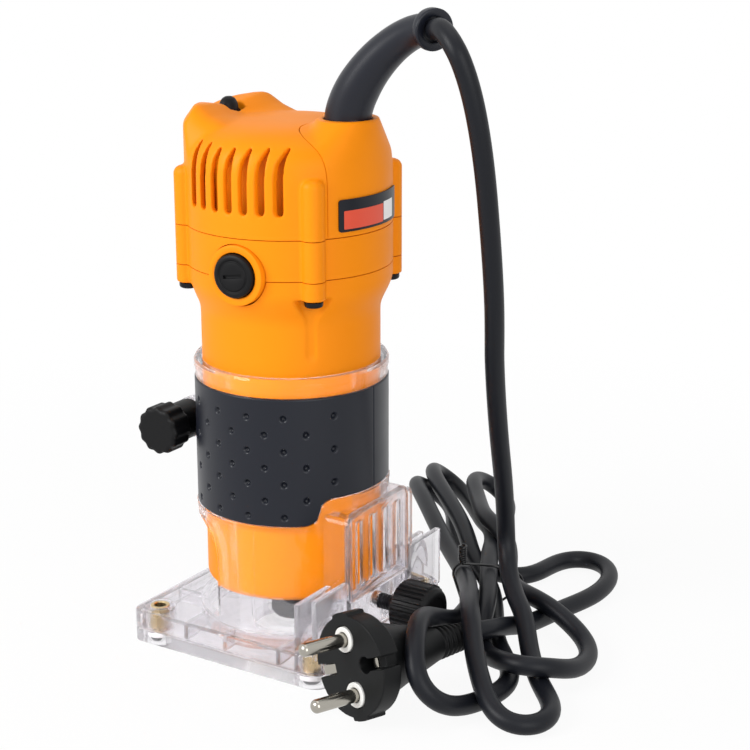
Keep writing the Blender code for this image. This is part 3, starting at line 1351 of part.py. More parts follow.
def bundle_route():
    """Route of the bundle in metres: runs between the folds, from the drop's foot to the plug."""
    end = np.array(PLUG_FACE) + plug_axis() * (PLUG_LENGTH + GAP)
    foot = drop_foot() - np.array((0, 0, GAP))
    runs = [
        [(65, 47, 30), (70, 39, 20.5), (77, 29, 15), (87, 19, 10), (101, 4, 5)],
        fold(110.5, -25, 4, -53, 12.5, 0, -1),
        [
            (93, -23, 10),
            (86, -15, 16),
            (79, -6, 22),
            (73, 4, 24),
            (67, 15, 23),
            (61, 26, 20.5),
            (54, 38, 18),
        ],
        [(40, 55, 16), (27, 68, 17), (8, 88, 20)],
        fold(-14, 127, 12.5, 130, 12.5, 45, -1),
        [(4, 112, 5), (24, 86, 5), (40, 64, 6), (52, 46, 9), (58, 32, 11), (62, 16, 14), (66, -4, 20)],
        fold(82, -36, 14.5, -70, 14, 42, 1),
        [
            (98, -18, 4),
            (96, -4, 4),
            (87, 9, 4),
            (76, 23, 4),
            (66, 37, 4),
            (56, 53, 6),
            (43, 69, 11),
            (32, 80, 15),
            (14, 98, 19),
        ],
        fold(-15, 141, 12.5, 127, 12.5, 45, -1),
        [
            (10, 126, 6),
            (27, 103, 11),
            (39, 83, 13),
            (50, 63, 13),
            (60, 43, 13),
            (68, 27, 14),
            (73, 18, 11),
            (80, 7, 9),
        ],
        [
            (91, -5, 10.5),
            (101, -11, 11.5),
            (109, -4, 9),
            (112, 9, 5),
            (113, 20, 4),
            (110, 32, 4),
            (104, 39, 5),
        ],
        [(97, 42, 9), (88, 44, 12), (77, 46, 13), (64, 53, 13), (51, 69, 13), (37, 86, 14), (20, 108, 18)],
        fold(6, 143, 12.5, 119, 12.5, 45, -1),
        [(18, 130, 4), (28, 108, 4)],
        fold(48, 85, 4, -62, 12.5, 0, 1),
        [
            (58, 104, 4),
            (63, 111, 4),
            (72, 114, 4),
            (83, 105, 4),
            (87, 92, 4),
            (88, 77, 4),
            (85, 66, 4),
            (82, 53, 4),
        ],
        [(80, 39, 4), (78.8, 22, 6.5)],
    ]
    middle = [np.array(point) / 1000 for run in runs for point in run]
    start = [foot, foot - np.array((0, 0, CORD_DIAMETER))]
    return start + middle + [end + plug_axis() * 1.3 * CORD_DIAMETER, end]


def off_plug(path, clearance):
    """Pushes points out of the plug, along the shortest way from its axis."""
    along = (path - np.array(PLUG_FACE)) @ plug_axis()
    places = (0, PLUG_DISC, PLUG_DISC + PLUG_TAB * 2, PLUG_BACK, PLUG_TAIL, PLUG_LENGTH)
    radii = (
        PLUG_RADIUS + PLUG_TAB,
        PLUG_RADIUS + PLUG_TAB,
        0.8 * PLUG_RADIUS,
        PLUG_BACK_RADIUS,
        PLUG_TAIL_RADIUS,
        PLUG_RELIEF_RADIUS,
    )
    wanted = np.interp(along, places, radii) + clearance
    off = path - np.array(PLUG_FACE) - np.outer(along, plug_axis())
    reach = np.maximum(np.linalg.norm(off, axis=1), 1e-9)
    inside = (along > -clearance) & (along < PLUG_LENGTH + clearance / 3) & (reach < wanted)
    return np.where(inside[:, None], off / reach[:, None] * (wanted - reach)[:, None], 0)


def off_knob(path, clearance):
    """Pushes points off the end of the guide knob."""
    reach = np.hypot(path[:, 1], path[:, 2] - GUIDE_AXIS_HEIGHT)
    wanted = np.where(reach < GUIDE_KNOB_RADIUS + clearance, GUIDE_END_X + clearance, -1)
    push = np.zeros_like(path)
    push[:, 0] = np.maximum(wanted - path[:, 0], 0)
    return push


def settled(path):
    """Lets the strands rest on the floor, the plug and each other, without bends that are too tight."""
    home = path.copy()
    count = len(path)
    step = path_length(path) / (count - 1)
    clear = CORD_DIAMETER + STRAND_CLEARANCE
    order = np.arange(count)
    apart = np.abs(order[:, None] - order) * step > 3.2 * clear
    held = int(round(2.2 * CORD_DIAMETER / step))
    span = BEND_SPAN
    slack = (span * step) ** 2 / (2 * LEAST_BEND)
    for _ in range(SETTLE_ROUNDS):
        between = path[:, None] - path
        distance = np.linalg.norm(between, axis=2)
        close = np.where(apart & (distance < clear), (clear - distance) / np.maximum(distance, 1e-9), 0)
        push = SETTLE_PUSH * (between * close[:, :, None]).sum(axis=1)
        push *= np.minimum(1, SETTLE_MOST / np.maximum(np.linalg.norm(push, axis=1), 1e-12))[:, None]
        bow = np.zeros_like(path)
        bow[1:-1] = (path[:-2] + path[2:]) / 2 - path[1:-1]
        kink = np.zeros_like(path)
        kink[2:-2] = (bow[1:-3] + bow[3:-1]) / 2 - bow[2:-2]
        sag = (path[: -2 * span] + path[2 * span :]) / 2 - path[span:-span]
        size = np.maximum(np.linalg.norm(sag, axis=1), 1e-12)
        open_up = SETTLE_OPEN * sag * (np.maximum(size - slack, 0) / size)[:, None]
        bend = np.zeros_like(path)
        bend[span:-span] += open_up
        bend[: -2 * span] -= open_up / 2
        bend[2 * span :] -= open_up / 2
        move = push + bend - SETTLE_STIFF * kink + bow * SETTLE_SMOOTH + (home - path) * SETTLE_HOME
        move += SETTLE_OFF * (off_plug(path, clear / 2) + off_knob(path, clear / 2)) - (0, 0, SETTLE_FALL)
        move[:held] = move[-held:] = 0
        path = path + move
        off_tie = np.linalg.norm(path[:, :2] - TIE_AT, axis=1) / (4 * CORD_DIAMETER)
        floor = CORD_DIAMETER / 2 + GAP + TIE_LIFT * np.exp(-(off_tie**2))
        path[:, 2] = np.where(
            (order < held) | (order >= count - held), path[:, 2], np.maximum(path[:, 2], floor)
        )
    return path


def square_ended(path, first, last):
    """Turns the first and last stretches square to what they meet."""
    path[1] = path[0] + first * np.linalg.norm(path[1] - path[0])
    path[-2] = path[-1] - last * np.linalg.norm(path[-1] - path[-2])
    return path


def least_gap(path):
    """Smallest space between strands of the same tube, measured on a fine path."""
    fine = even_points(path, 800)
    order = np.arange(len(fine))
    step = path_length(fine) / (len(fine) - 1)
    distance = np.linalg.norm(fine[:, None] - fine, axis=2)
    return distance[np.abs(order[:, None] - order) * step > 3.2 * CORD_DIAMETER].min() - CORD_DIAMETER


def cord_tube(name, path, body, resolution):
    curve = bpy.data.curves.new(name, "CURVE")
    curve.dimensions = "3D"
    curve.bevel_depth = CORD_DIAMETER / 2
    curve.bevel_resolution = resolution
    curve.use_fill_caps = True
    spline = curve.splines.new("POLY")
    spline.points.add(len(path) - 1)
    for point, place in zip(spline.points, path):
        point.co = (*(Vector(place) - Vector(BODIES[body][0])), 1)
    spline.use_smooth = True
    obj = bpy.data.objects.new(name, curve)
    bpy.context.scene.collection.objects.link(obj)
    obj.parent = EMPTIES[body]
    curve.materials.append(PAINTS["cord_pvc"])
    return obj


def cord_pieces():
    """Free drop from the guard, and the bundle that lies on the floor in one unbroken tube."""
    exit_point, heading = guard_end()
    start = np.array(exit_point + heading * GAP)
    foot = drop_foot()
    out = np.array((math.cos(GUARD_AZIMUTH), math.sin(GUARD_AZIMUTH), 0))
    route = [start, start + np.array(heading) * DROP_STRAIGHT]
    for share, reach, fall in DROP_SHAPE:
        route.append(start + (foot - start) * (share, share, fall) + out * reach)
    route += [foot + np.array((0, 0, CORD_DIAMETER)), foot]
    down = np.array((0, 0, -1))
    drop = square_ended(smooth_path(route, DROP_POINTS), np.array(heading), down)
    cord_tube("cord_drop", drop, "motor", 2)
    points = bundle_route()
    first = smooth_path(points, 400)
    path = settled(even_points(first, int(path_length(first) / SETTLE_STEP)))
    coarse = square_ended(even_points(path, LOOP_COUNT * LOOP_POINTS), down, -plug_axis())
    cord_tube("cord_bundle", coarse, "base", 1)
    print("least gap between strands: %.2f mm" % (least_gap(coarse) * 1000))
    print("cord length: %.3f m" % (path_length(path) + path_length(drop)))
    cord_tie(path)


def cord_tie(path):
    """Wire ring round the strands where the bundle is tied."""
    across = np.array((-math.sin(TIE_HEADING), math.cos(TIE_HEADING)))
    ahead = np.array((math.cos(TIE_HEADING), math.sin(TIE_HEADING)))
    side = (path[:, :2] - TIE_AT) @ ahead
    reach = (path[:, :2] - TIE_AT) @ across
    crossing = [
        k for k in range(len(path) - 1) if side[k] * side[k + 1] < 0 and abs(reach[k]) < 5 * CORD_DIAMETER
    ]
    low, high = min(reach[crossing]), max(reach[crossing])
    floor, top = min(path[crossing, 2]), max(path[crossing, 2])
    margin = CORD_DIAMETER / 2 + TIE_WIRE_RADIUS + 2 * GAP
    half_wide, half_tall = (high - low) / 2 + margin, (top - floor) / 2 + margin
    bm = bmesh.new()
    rings = []
    steps, sides, share = 24, 5, 0.45
    for k in range(steps):
        angle = 2 * math.pi * k / steps
        x = half_wide * math.copysign(abs(math.cos(angle)) ** share, math.cos(angle))
        z = half_tall * math.copysign(abs(math.sin(angle)) ** share, math.sin(angle))
        outward = Vector((math.cos(angle), 0, math.sin(angle)))
        ring = []
        for j in range(sides):
            turn = 2 * math.pi * j / sides
            offset = outward * math.cos(turn) + Vector((0, 1, 0)) * math.sin(turn)
            ring.append(bm.verts.new(Vector((x, 0, z)) + offset * TIE_WIRE_RADIUS))
        rings.append(ring)
    for ring, after in zip(rings, rings[1:] + rings[:1]):
        for j in range(sides):
            bm.faces.new((ring[j], ring[(j + 1) % sides], after[(j + 1) % sides], after[j]))
    tie = object_from(bm, "cord_tie")
    middle = np.array(TIE_AT) + across * (low + high) / 2
    turn = Matrix.Rotation(TIE_HEADING + math.pi / 2, 4, "Z")
    tie.data.transform(Matrix.Translation((*middle, (floor + top) / 2)) @ turn)
    finish(tie, "base", "black_plastic")


def plug_outline():
    """Face of the plug: round, with a tab above and below and an earth slot each side."""
    tab = PLUG_RADIUS + PLUG_TAB
    tab_angle = PLUG_TAB_HALF_WIDTH / PLUG_RADIUS
    slot_angle = EARTH_SLOT_WIDTH / 2 / PLUG_RADIUS
    floor = PLUG_RADIUS - EARTH_SLOT_DEPTH
    points = []
    for quarter in range(4):
        middle = quarter * math.pi / 2
        inset = slot_angle if quarter % 2 == 0 else tab_angle
        reach = floor if quarter % 2 == 0 else tab
        after = tab_angle if quarter % 2 == 0 else slot_angle
        points += arc(0, 0, reach, middle - inset, middle + inset, 2)
        points += arc(0, 0, PLUG_RADIUS, middle + inset, middle + math.pi / 2 - after, 5)
    return points


def plug_pieces():
    """Two-pin plug lying on its edge, with a ribbed tail where the cord goes in."""
    body = extruded("plug_body", plug_outline(), 0, PLUG_DISC)
    tail = PLUG_LENGTH - PLUG_TAIL
    profile = [
        (0, PLUG_DISC / 2), (0.8 * PLUG_RADIUS, PLUG_DISC / 2), (0.8 * PLUG_RADIUS, PLUG_DISC + 2 * PLUG_TAB)
    ]
    profile += [(PLUG_BACK_RADIUS, PLUG_BACK), (PLUG_TAIL_RADIUS, PLUG_TAIL)]
    for k in range(PLUG_RELIEF_RIBS):
        at = PLUG_TAIL + tail * (k + 0.5) / PLUG_RELIEF_RIBS
        wide = PLUG_TAIL_RADIUS + (PLUG_RELIEF_RADIUS - PLUG_TAIL_RADIUS) * (k + 1) / PLUG_RELIEF_RIBS
        profile += [
            (wide - PLUG_TAB, at - tail / 16), (wide - PLUG_TAB, at + tail / 16), (wide, at + tail / 8)
        ]
    profile += [(PLUG_RELIEF_RADIUS, PLUG_LENGTH), (0, PLUG_LENGTH)]
    join(body, turned("tail", profile, MIDDLE_SIDES))
    rooms = []
    pieces = []
    for number, side in ((1, -1), (2, 1)):
        at = (0, side * PIN_SPACING / 2)
        rooms.append(cylinder("pin_room", PIN_RADIUS + GAP, -OVERSHOOT, PIN_ROOT + GAP, SMALL_SIDES, at))
        rooms.append(
            cylinder("collar_room", COLLAR_RADIUS + GAP, -OVERSHOOT, COLLAR_DEPTH + GAP, MIDDLE_SIDES, at)
        )
        collar = tube(
            "pin_collar_%d" % number,
            PIN_RADIUS + GAP,
            COLLAR_RADIUS,
            -COLLAR_PROUD,
            COLLAR_DEPTH,
            MIDDLE_SIDES,
            at,
        )
        tip = PIN_RADIUS / 2
        profile = [
            (0, -PIN_LENGTH),
            (tip, -PIN_LENGTH),
            (PIN_RADIUS, tip - PIN_LENGTH),
            (PIN_RADIUS, PIN_ROOT),
            (0, PIN_ROOT),
        ]
        pin = turned("plug_pin_%d" % number, profile, SMALL_SIDES, (*at, 0))
        pieces += [(collar, "white_plastic"), (pin, "nickel")]
    pieces.append((cut(body, *rooms), "black_plastic"))
    for piece, paint in pieces:
        piece.data.transform(Matrix.Rotation(PLUG_ROLL, 4, "Z"))
        finish(aimed(piece, PLUG_AIM, PLUG_FACE), "base", paint)


clear_scene()
PAINTS = {name: make_material(name) for name in MATERIALS}
EMPTIES = make_bodies()
sole_plate()
sole_fasteners()
base_body()
grip_sleeve()
chip_deflector()
clamp_pieces()
guide_pieces()
motor_housing()
middle_band()
top_cover()
cord_cover()
nameplate()
head_screws()
brush_gear()
stator()
bearings()
spindle_pieces()
collet_pieces()
switch_rocker()
cord_guard()
cord_pieces()
plug_pieces()
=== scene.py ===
# Trim router on a clear base, with its tied mains lead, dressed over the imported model
# Pieces are modelled in millimetres about the machine's own axis, then seated in the frame in metres
import json
import math

import bmesh
import bpy
import numpy as np
from mathutils import Matrix, Vector


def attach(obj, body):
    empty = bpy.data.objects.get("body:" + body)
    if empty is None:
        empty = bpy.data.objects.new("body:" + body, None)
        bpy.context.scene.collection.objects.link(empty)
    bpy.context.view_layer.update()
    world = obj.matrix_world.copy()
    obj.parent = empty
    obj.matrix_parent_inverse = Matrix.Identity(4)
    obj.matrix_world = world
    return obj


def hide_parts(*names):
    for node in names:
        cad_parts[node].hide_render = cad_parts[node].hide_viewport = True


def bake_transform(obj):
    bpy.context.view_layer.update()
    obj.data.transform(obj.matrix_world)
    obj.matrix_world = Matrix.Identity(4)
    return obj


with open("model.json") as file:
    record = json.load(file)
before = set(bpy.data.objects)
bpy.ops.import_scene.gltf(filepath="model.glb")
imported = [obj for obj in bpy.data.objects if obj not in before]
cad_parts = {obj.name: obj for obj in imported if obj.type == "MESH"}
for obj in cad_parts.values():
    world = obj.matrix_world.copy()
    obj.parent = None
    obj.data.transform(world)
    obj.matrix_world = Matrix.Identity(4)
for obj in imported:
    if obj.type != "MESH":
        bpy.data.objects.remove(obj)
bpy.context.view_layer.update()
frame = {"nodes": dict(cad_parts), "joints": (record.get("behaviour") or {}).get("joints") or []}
axisX = next(joint["pos_m"][0] for joint in frame["joints"] if joint["name"] == "spindle_spin")
toFrame = Matrix.Translation((axisX, 0, 0)) @ Matrix.Scale(0.001, 4)
print("frame loaded, machine axis at x =", axisX)


# Mesh helpers, in millimetres. Tools run a few millimetres past the faces that they cut, and the offsets of less
# than a millimetre in profiles are eased edges and fits

def newObject(name, data):
    obj = bpy.data.objects.new(name, data)
    bpy.context.scene.collection.objects.link(obj)
    return obj


def fromBmesh(name, bm):
    bmesh.ops.remove_doubles(bm, verts=bm.verts, dist=1e-4)
    bmesh.ops.recalc_face_normals(bm, faces=bm.faces)
    mesh = bpy.data.meshes.new(name)
    bm.to_mesh(mesh)
    bm.free()
    return newObject(name, mesh)


def turnTo(along):
    return Vector(along).to_track_quat("Z", "Y").to_matrix().to_4x4()


def lathe(name, profile, sides, at=(0, 0, 0), along=(0, 0, 1)):
    bm = bmesh.new()
    points = [bm.verts.new((radius, 0, height)) for radius, height in profile]
    pairs = zip(points, points[1:] + points[:1])
    edges = [bm.edges.new(pair) for pair in pairs if max(pair[0].co.x, pair[1].co.x) > 0]
    bmesh.ops.spin(
        bm, geom=points + edges, cent=(0, 0, 0), axis=(0, 0, 1), angle=2 * math.pi, steps=sides, use_merge=True
    )
    obj = fromBmesh(name, bm)
    obj.data.transform(Matrix.Translation(at) @ turnTo(along))
    return obj


def rod(name, radius, low, high, sides, at=(0, 0, 0), along=(0, 0, 1)):
    return lathe(name, [(0, low), (radius, low), (radius, high), (0, high)], sides, at, along)


def loft(name, rings, closed=False):
    # solid through rings of equally many points, flat at both ends unless it closes on itself
    bm = bmesh.new()
    loops = [[bm.verts.new(point) for point in ring] for ring in rings]
    count = len(loops[0])
    for loop, after in zip(loops, loops[1:] + (loops[:1] if closed else [])):
        for k in range(count):
            n = (k + 1) % count
            bm.faces.new((loop[k], loop[n], after[n], after[k]))
    if not closed:
        bm.faces.new(loops[0])
        bm.faces.new(loops[-1])
    return fromBmesh(name, bm)


planeOf = {
    "x": lambda u, v, w: (w, u, v),
    "y": lambda u, v, w: (u, w, v),
    "z": lambda u, v, w: (u, v, w),
}


def prism(name, outline, low, high, along="z"):
    return loft(name, [[planeOf[along](u, v, w) for u, v in outline] for w in (low, high)])


def block(name, low, high):
    outline = [(low[0], low[1]), (high[0], low[1]), (high[0], high[1]), (low[0], high[1])]
    return prism(name, outline, low[2], high[2])


def arc(x, y, radius, start, end, steps):
    angles = np.radians(np.linspace(start, end, steps + 1))
    return [(x + radius * math.cos(a), y + radius * math.sin(a)) for a in angles]


def roundedOutline(left, right, low, high, corner, steps):
    right, high, left, low = right - corner, high - corner, left + corner, low + corner
    points = []
    for k, (x, y) in enumerate(((right, high), (left, high), (left, low), (right, low))):
        points += arc(x, y, corner, 90 * k, 90 * k + 90, steps)
    return points


def archOutline(half, low, high, corner):
    # upright outline with its two top corners rounded
    points = [(-half, low), (half, low)] + arc(half - corner, high - corner, corner, 0, 90, 10)
    return points + arc(corner - half, high - corner, corner, 90, 180, 10)


def plainMesh(obj):
    # what the modifiers make becomes the object's own mesh
    bpy.context.view_layer.update()
    graph = bpy.context.evaluated_depsgraph_get()
    mesh = bpy.data.meshes.new_from_object(obj.evaluated_get(graph))
    obj.modifiers.clear()
    obj.data = mesh
    return obj


def combined(obj, operation, tools):
    for tool in tools:
        step = obj.modifiers.new("combine", "BOOLEAN")
        step.operation, step.solver, step.object = operation, "MANIFOLD", tool
    plainMesh(obj)
    for tool in tools:
        bpy.data.objects.remove(tool)
    return obj


def cut(obj, *tools):
    return combined(obj, "DIFFERENCE", tools)


def join(obj, *tools):
    return combined(obj, "UNION", tools)


def shared(obj, tool):
    return combined(obj, "INTERSECT", [tool])


def moulded(obj, voxel, rounds):
    # even skin with every edge rounded, as a moulding has
    remesh = obj.modifiers.new("skin", "REMESH")
    remesh.mode, remesh.voxel_size = "VOXEL", voxel
    smooth = obj.modifiers.new("round", "SMOOTH")
    smooth.factor, smooth.iterations = 0.5, rounds
    return plainMesh(obj)


def eased(obj, width, segments=2, angle=35):
    bevel = obj.modifiers.new("ease", "BEVEL")
    bevel.width, bevel.segments = width, segments
    bevel.limit_method, bevel.angle_limit = "ANGLE", math.radians(angle)
    return plainMesh(obj)


def seat(obj, body, material, slot, *replaced, sharp=35):
    # moves a finished piece into the frame and hands it to its body; the lead has none
    obj.data.transform(toFrame)
    obj.data.materials.clear()
    obj.data.materials.append(material)
    obj.data.shade_smooth()
    if sharp:
        obj.data.set_sharp_from_angle(angle=math.radians(sharp))
    if body:
        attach(obj, body)
    if replaced:
        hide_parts(*replaced)
    return obj


# Node and material helpers

def hexColour(code):
    channels = [int(code[k : k + 2], 16) / 255 for k in (1, 3, 5)]
    return [c / 12.92 if c <= 0.04045 else ((c + 0.055) / 1.055) ** 2.4 for c in channels] + [1]


def perMetre(millimetres):
    return 1000 / millimetres


def addNode(tree, kind, settings=None, links=None):
    node = tree.nodes.new(kind)
    for key, value in (settings or {}).items():
        if isinstance(key, int) or key in node.inputs:
            node.inputs[key].default_value = value
        else:
            setattr(node, key, value)
    for key, source in (links or {}).items():
        tree.links.new(source, node.inputs[key])
    return node


def newTree(name, inputs):
    # geometry node group with named inputs, and the identifiers by which a modifier sets them
    tree = bpy.data.node_groups.new(name, "GeometryNodeTree")
    sockets = {}
    for key, kind in {"Geometry": "Geometry", **inputs, "Material": "Material"}.items():
        socket = tree.interface.new_socket(key, in_out="INPUT", socket_type="NodeSocket" + kind)
        sockets[key] = socket.identifier
    tree.interface.new_socket("Geometry", in_out="OUTPUT", socket_type="NodeSocketGeometry")
    return tree, sockets, addNode(tree, "NodeGroupInput").outputs


def endTree(tree, given, made):
    whole = addNode(tree, "GeometryNodeRealizeInstances", {}, {"Geometry": made.outputs[0]})
    links = {"Geometry": whole.outputs[0], "Material": given["Material"]}
    painted = addNode(tree, "GeometryNodeSetMaterial", {}, links)
    addNode(tree, "NodeGroupOutput", {}, {0: painted.outputs[0]})


def runTree(obj, tree, sockets, values):
    nodes = obj.modifiers.new(tree.name, "NODES")
    nodes.node_group = tree
    for key, value in values.items():
        nodes[sockets[key]] = value
    return plainMesh(obj)


def newMaterial(name, settings):
    material = bpy.data.materials.new(name)
    material.use_nodes = True
    tree = material.node_tree
    tree.nodes.clear()
    shader = addNode(tree, "ShaderNodeBsdfPrincipled", settings)
    addNode(tree, "ShaderNodeOutputMaterial", {}, {"Surface": shader.outputs[0]})
    place = addNode(tree, "ShaderNodeTexCoord").outputs["Object"]
    return material, tree, shader, place


def colourDrift(tree, shader, place, first, second, size):
    # slow change of colour over the surface
    drift = addNode(tree, "ShaderNodeTexNoise", {"Scale": perMetre(size), "Detail": 3.0}, {"Vector": place})
    settings = {"data_type": "RGBA", 6: hexColour(first), 7: hexColour(second)}
    mix = addNode(tree, "ShaderNodeMix", settings, {0: drift.outputs[0]})
    tree.links.new(mix.outputs[2], shader.inputs["Base Color"])


def grainBump(tree, shader, place, size, strength, depth, detail=2.0):
    # fine grain or flow marks, drawn as coarse as they need to show
    grain = addNode(tree, "ShaderNodeTexNoise", {"Scale": perMetre(size), "Detail": detail}, {"Vector": place})
    settings = {"Strength": strength, "Distance": depth / 1000}
    bump = addNode(tree, "ShaderNodeBump", settings, {"Height": grain.outputs[0]})
    tree.links.new(bump.outputs[0], shader.inputs["Normal"])


def roughnessDrift(tree, shader, place, low, high, size):
    wear = addNode(tree, "ShaderNodeTexNoise", {"Scale": perMetre(size), "Detail": 4.0}, {"Vector": place})
    spread = addNode(tree, "ShaderNodeMapRange", {"To Min": low, "To Max": high}, {"Value": wear.outputs[0]})
    tree.links.new(spread.outputs[0], shader.inputs["Roughness"])


def mouldedMaterial(name, first, second, rough, grain, strength, gloss=0.5):
    material, tree, shader, place = newMaterial(name, {"IOR": 1.5, "Specular IOR Level": gloss})
    colourDrift(tree, shader, place, first, second, size=40)
    roughnessDrift(tree, shader, place, *rough, size=14)
    grainBump(tree, shader, place, grain, strength, depth=0.05)
    return material


# Moulded ABS: strong orange through and through, with the fine satin of a spark-eroded mould
orangeAbs = mouldedMaterial("orangeAbs", "#FB9209", "#F88C06", (0.4, 0.54), 0.5, 0.1, 0.14)
# Moulded rubber: charcoal with a blue cast, soft wide gleam
charcoalRubber = mouldedMaterial("charcoalRubber", "#12151F", "#161923", (0.3, 0.42), 0.45, 0.14, 0.32)
# Moulded nylon: near black with a dull satin
blackNylon = mouldedMaterial("blackNylon", "#0A0A0B", "#0E0E10", (0.4, 0.55), 0.5, 0.18, 0.18)
# Extruded PVC: dark grey sheath with a satin gleam
sheathPvc = mouldedMaterial("sheathPvc", "#101218", "#14161C", (0.38, 0.5), 0.7, 0.06, 0.22)
# Moulded PVC of the plug, a little darker than its lead
plugPvc = mouldedMaterial("plugPvc", "#0C0D0E", "#111213", (0.42, 0.56), 0.5, 0.16, 0.18)
# Moulded nylon of the pins' collars and the washers: white with a soft gleam
whiteNylon = mouldedMaterial("whiteNylon", "#F2F1EE", "#EBEAE6", (0.35, 0.45), 0.5, 0.05)
# Coated steel wire of the tie: glossy black
tieWire = mouldedMaterial("tieWire", "#0B0B0D", "#101013", (0.25, 0.35), 0.5, 0.05)
# Printed film on the blank plate: slate frame, coral and white fields
slateFilm = mouldedMaterial("slateFilm", "#1A1C23", "#1E2027", (0.3, 0.4), 0.6, 0.03, 0.2)
coralFilm = mouldedMaterial("coralFilm", "#E4573F", "#E05038", (0.3, 0.38), 0.6, 0.03, 0.3)
whiteFilm = mouldedMaterial("whiteFilm", "#F4F2F1", "#EFEDEC", (0.3, 0.38), 0.6, 0.03, 0.3)


def metalMaterial(name, colour, rough, streak):
    material, tree, shader, place = newMaterial(name, {"Base Color": hexColour(colour), "Metallic": 1.0})
    roughnessDrift(tree, shader, place, *rough, size=3)
    grainBump(tree, shader, place, streak, strength=0.08, depth=0.03)
    return material


# Turned brass: pale yellow, a fine sheen broken by the tool's marks
turnedBrass = metalMaterial("turnedBrass", "#CDB68A", (0.2, 0.34), 0.4)
# Nickel plate: warm grey and bright, nearly a mirror
nickelPlate = metalMaterial("nickelPlate", "#A9A59C", (0.12, 0.24), 0.5)
# Ground steel: cool grey with a broad gleam
groundSteel = metalMaterial("groundSteel", "#A9AAAD", (0.3, 0.44), 0.4)
# Blacked steel: oxide-dark, with a low metal gleam; on the sole screws it is also painted shade for their bores
blackedSteel = metalMaterial("blackedSteel", "#2A2A2D", (0.32, 0.45), 0.4)
# Bare copper: red-brown, half bright
bareCopper = metalMaterial("bareCopper", "#C8764A", (0.28, 0.4), 0.4)
# Unpolished steel: darker grey and dull
dullSteel = metalMaterial("dullSteel", "#77787B", (0.45, 0.58), 0.4)


def makeClear():
    # Moulded polycarbonate: clear with a faint mauve tint, fine flow marks, and lamps shine through it
    settings = {"Base Color": hexColour("#FAF9FB"), "Transmission Weight": 1.0, "IOR": 1.38, "Roughness": 0.02}
    material, tree, shader, place = newMaterial("clearPolycarbonate", settings)
    grainBump(tree, shader, place, size=9, strength=0.05, depth=0.3, detail=1.0)
    path = addNode(tree, "ShaderNodeLightPath").outputs
    clear = addNode(tree, "ShaderNodeBsdfTransparent", {"Color": hexColour("#F7F5F8")})
    thin = addNode(tree, "ShaderNodeMixShader", {0: 0.22}, {1: shader.outputs[0], 2: clear.outputs[0]})
    links = {0: path["Is Shadow Ray"], 1: thin.outputs[0], 2: clear.outputs[0]}
    mix = addNode(tree, "ShaderNodeMixShader", {}, links)
    end = next(node for node in tree.nodes if node.type == "OUTPUT_MATERIAL")
    tree.links.new(mix.outputs[0], end.inputs["Surface"])
    return material


clearPolycarbonate = makeClear()
print("materials made")


# Head: cover with vents and switch ridge, cord cover, band and housing

head = {
    "radius": 37.0, "wall": 2.6, "coverLow": 158.3, "domeLow": 172.3, "domeRise": 22.4, "domePower": 3.6,
    "bandLow": 143.95, "bandTop": 158.0, "housingTop": 143.65, "bossX": 27.1, "bossY": 24.7, "bossRadius": 4.15,
    "bossTop": 179.0, "bossLow": 137.0, "over": 3.0, "sides": 160, "trimHalf": 60.0, "above": 20.0, "screwRoom": 1.9,
    "coverBlend": (0.7, 10), "coverSkin": (0.5, 5), "bandSkin": (0.5, 4),
}
headTop = head["domeLow"] + head["domeRise"]
bosses = [(x, y, 0) for x in (-head["bossX"], head["bossX"]) for y in (-head["bossY"], head["bossY"])]


def domeProfile(radius, rise, low, steps=24):
    power = 2 / head["domePower"]
    points = [(0, low), (radius, low)]
    for k in range(steps + 1):
        angle = math.pi / 2 * k / steps
        across = radius * max(math.cos(angle), 0) ** power if k < steps else 0
        points.append((across, head["domeLow"] + rise * math.sin(angle) ** power))
    return points


def domeSolid(name, inset, low):
    return lathe(name, domeProfile(head["radius"] - inset, head["domeRise"] - inset, low), head["sides"])


def trim(obj, low, high):
    # cuts a moulding to its two seams
    half = head["trimHalf"]
    return shared(obj, block("trim", (-half, -half, low), (half, half, high)))


ridge = {
    "top": 4.9, "innerX": 24.0, "slopeX": 18.0, "slopeDrop": 3.6, "footX": 11.5, "footDrop": 6.0, "humpY": 19.0,
    "halfWidth": 29.5, "saddle": 3.0, "shoulder": 10.4, "outerX": 39.0, "flankPower": 2.6, "root": 6.0, "inset": 0.1,
    "drumEase": (5.0, 6.0),
}


def ridgeOutline(drop):
    half, hump = ridge["halfWidth"], ridge["humpY"]
    top, low = headTop + ridge["top"] - drop, headTop - ridge["shoulder"]
    outline = [(-half, low - ridge["root"])]
    for y in np.linspace(-half, half, 49):
        off = abs(y) - hump
        if off > 0:
            fall = (top - low) * (off / (half - hump)) ** ridge["flankPower"]
        else:
            fall = ridge["saddle"] * (off / hump) ** 2
        outline.append((y, top - fall))
    return outline + [(half, low - ridge["root"])]


def ridgeSolid():
    sections = (
        (-ridge["outerX"], 0), (-ridge["innerX"], 0), (-ridge["slopeX"], ridge["slopeDrop"]),
        (-ridge["footX"], ridge["footDrop"]),
    )
    body = loft("ridge", [[(x, y, z) for y, z in ridgeOutline(drop)] for x, drop in sections])
    edge, (across, down) = head["radius"] - ridge["inset"], ridge["drumEase"]
    low, top = headTop - 2 * ridge["shoulder"], headTop + ridge["top"]
    profile = [(0, low), (edge, low), (edge, top - down), (edge - across, top + 1), (0, top + 1)]
    return shared(body, lathe("drum", profile, head["sides"]))


vents = {
    "count": 7, "pitch": 5.9, "width": 2.9, "shift": 0.3, "low": 166.3, "high": 189.2, "from": 24.0, "past": 3.0,
    "baffle": 27.0, "baffleWall": 1.0,
}


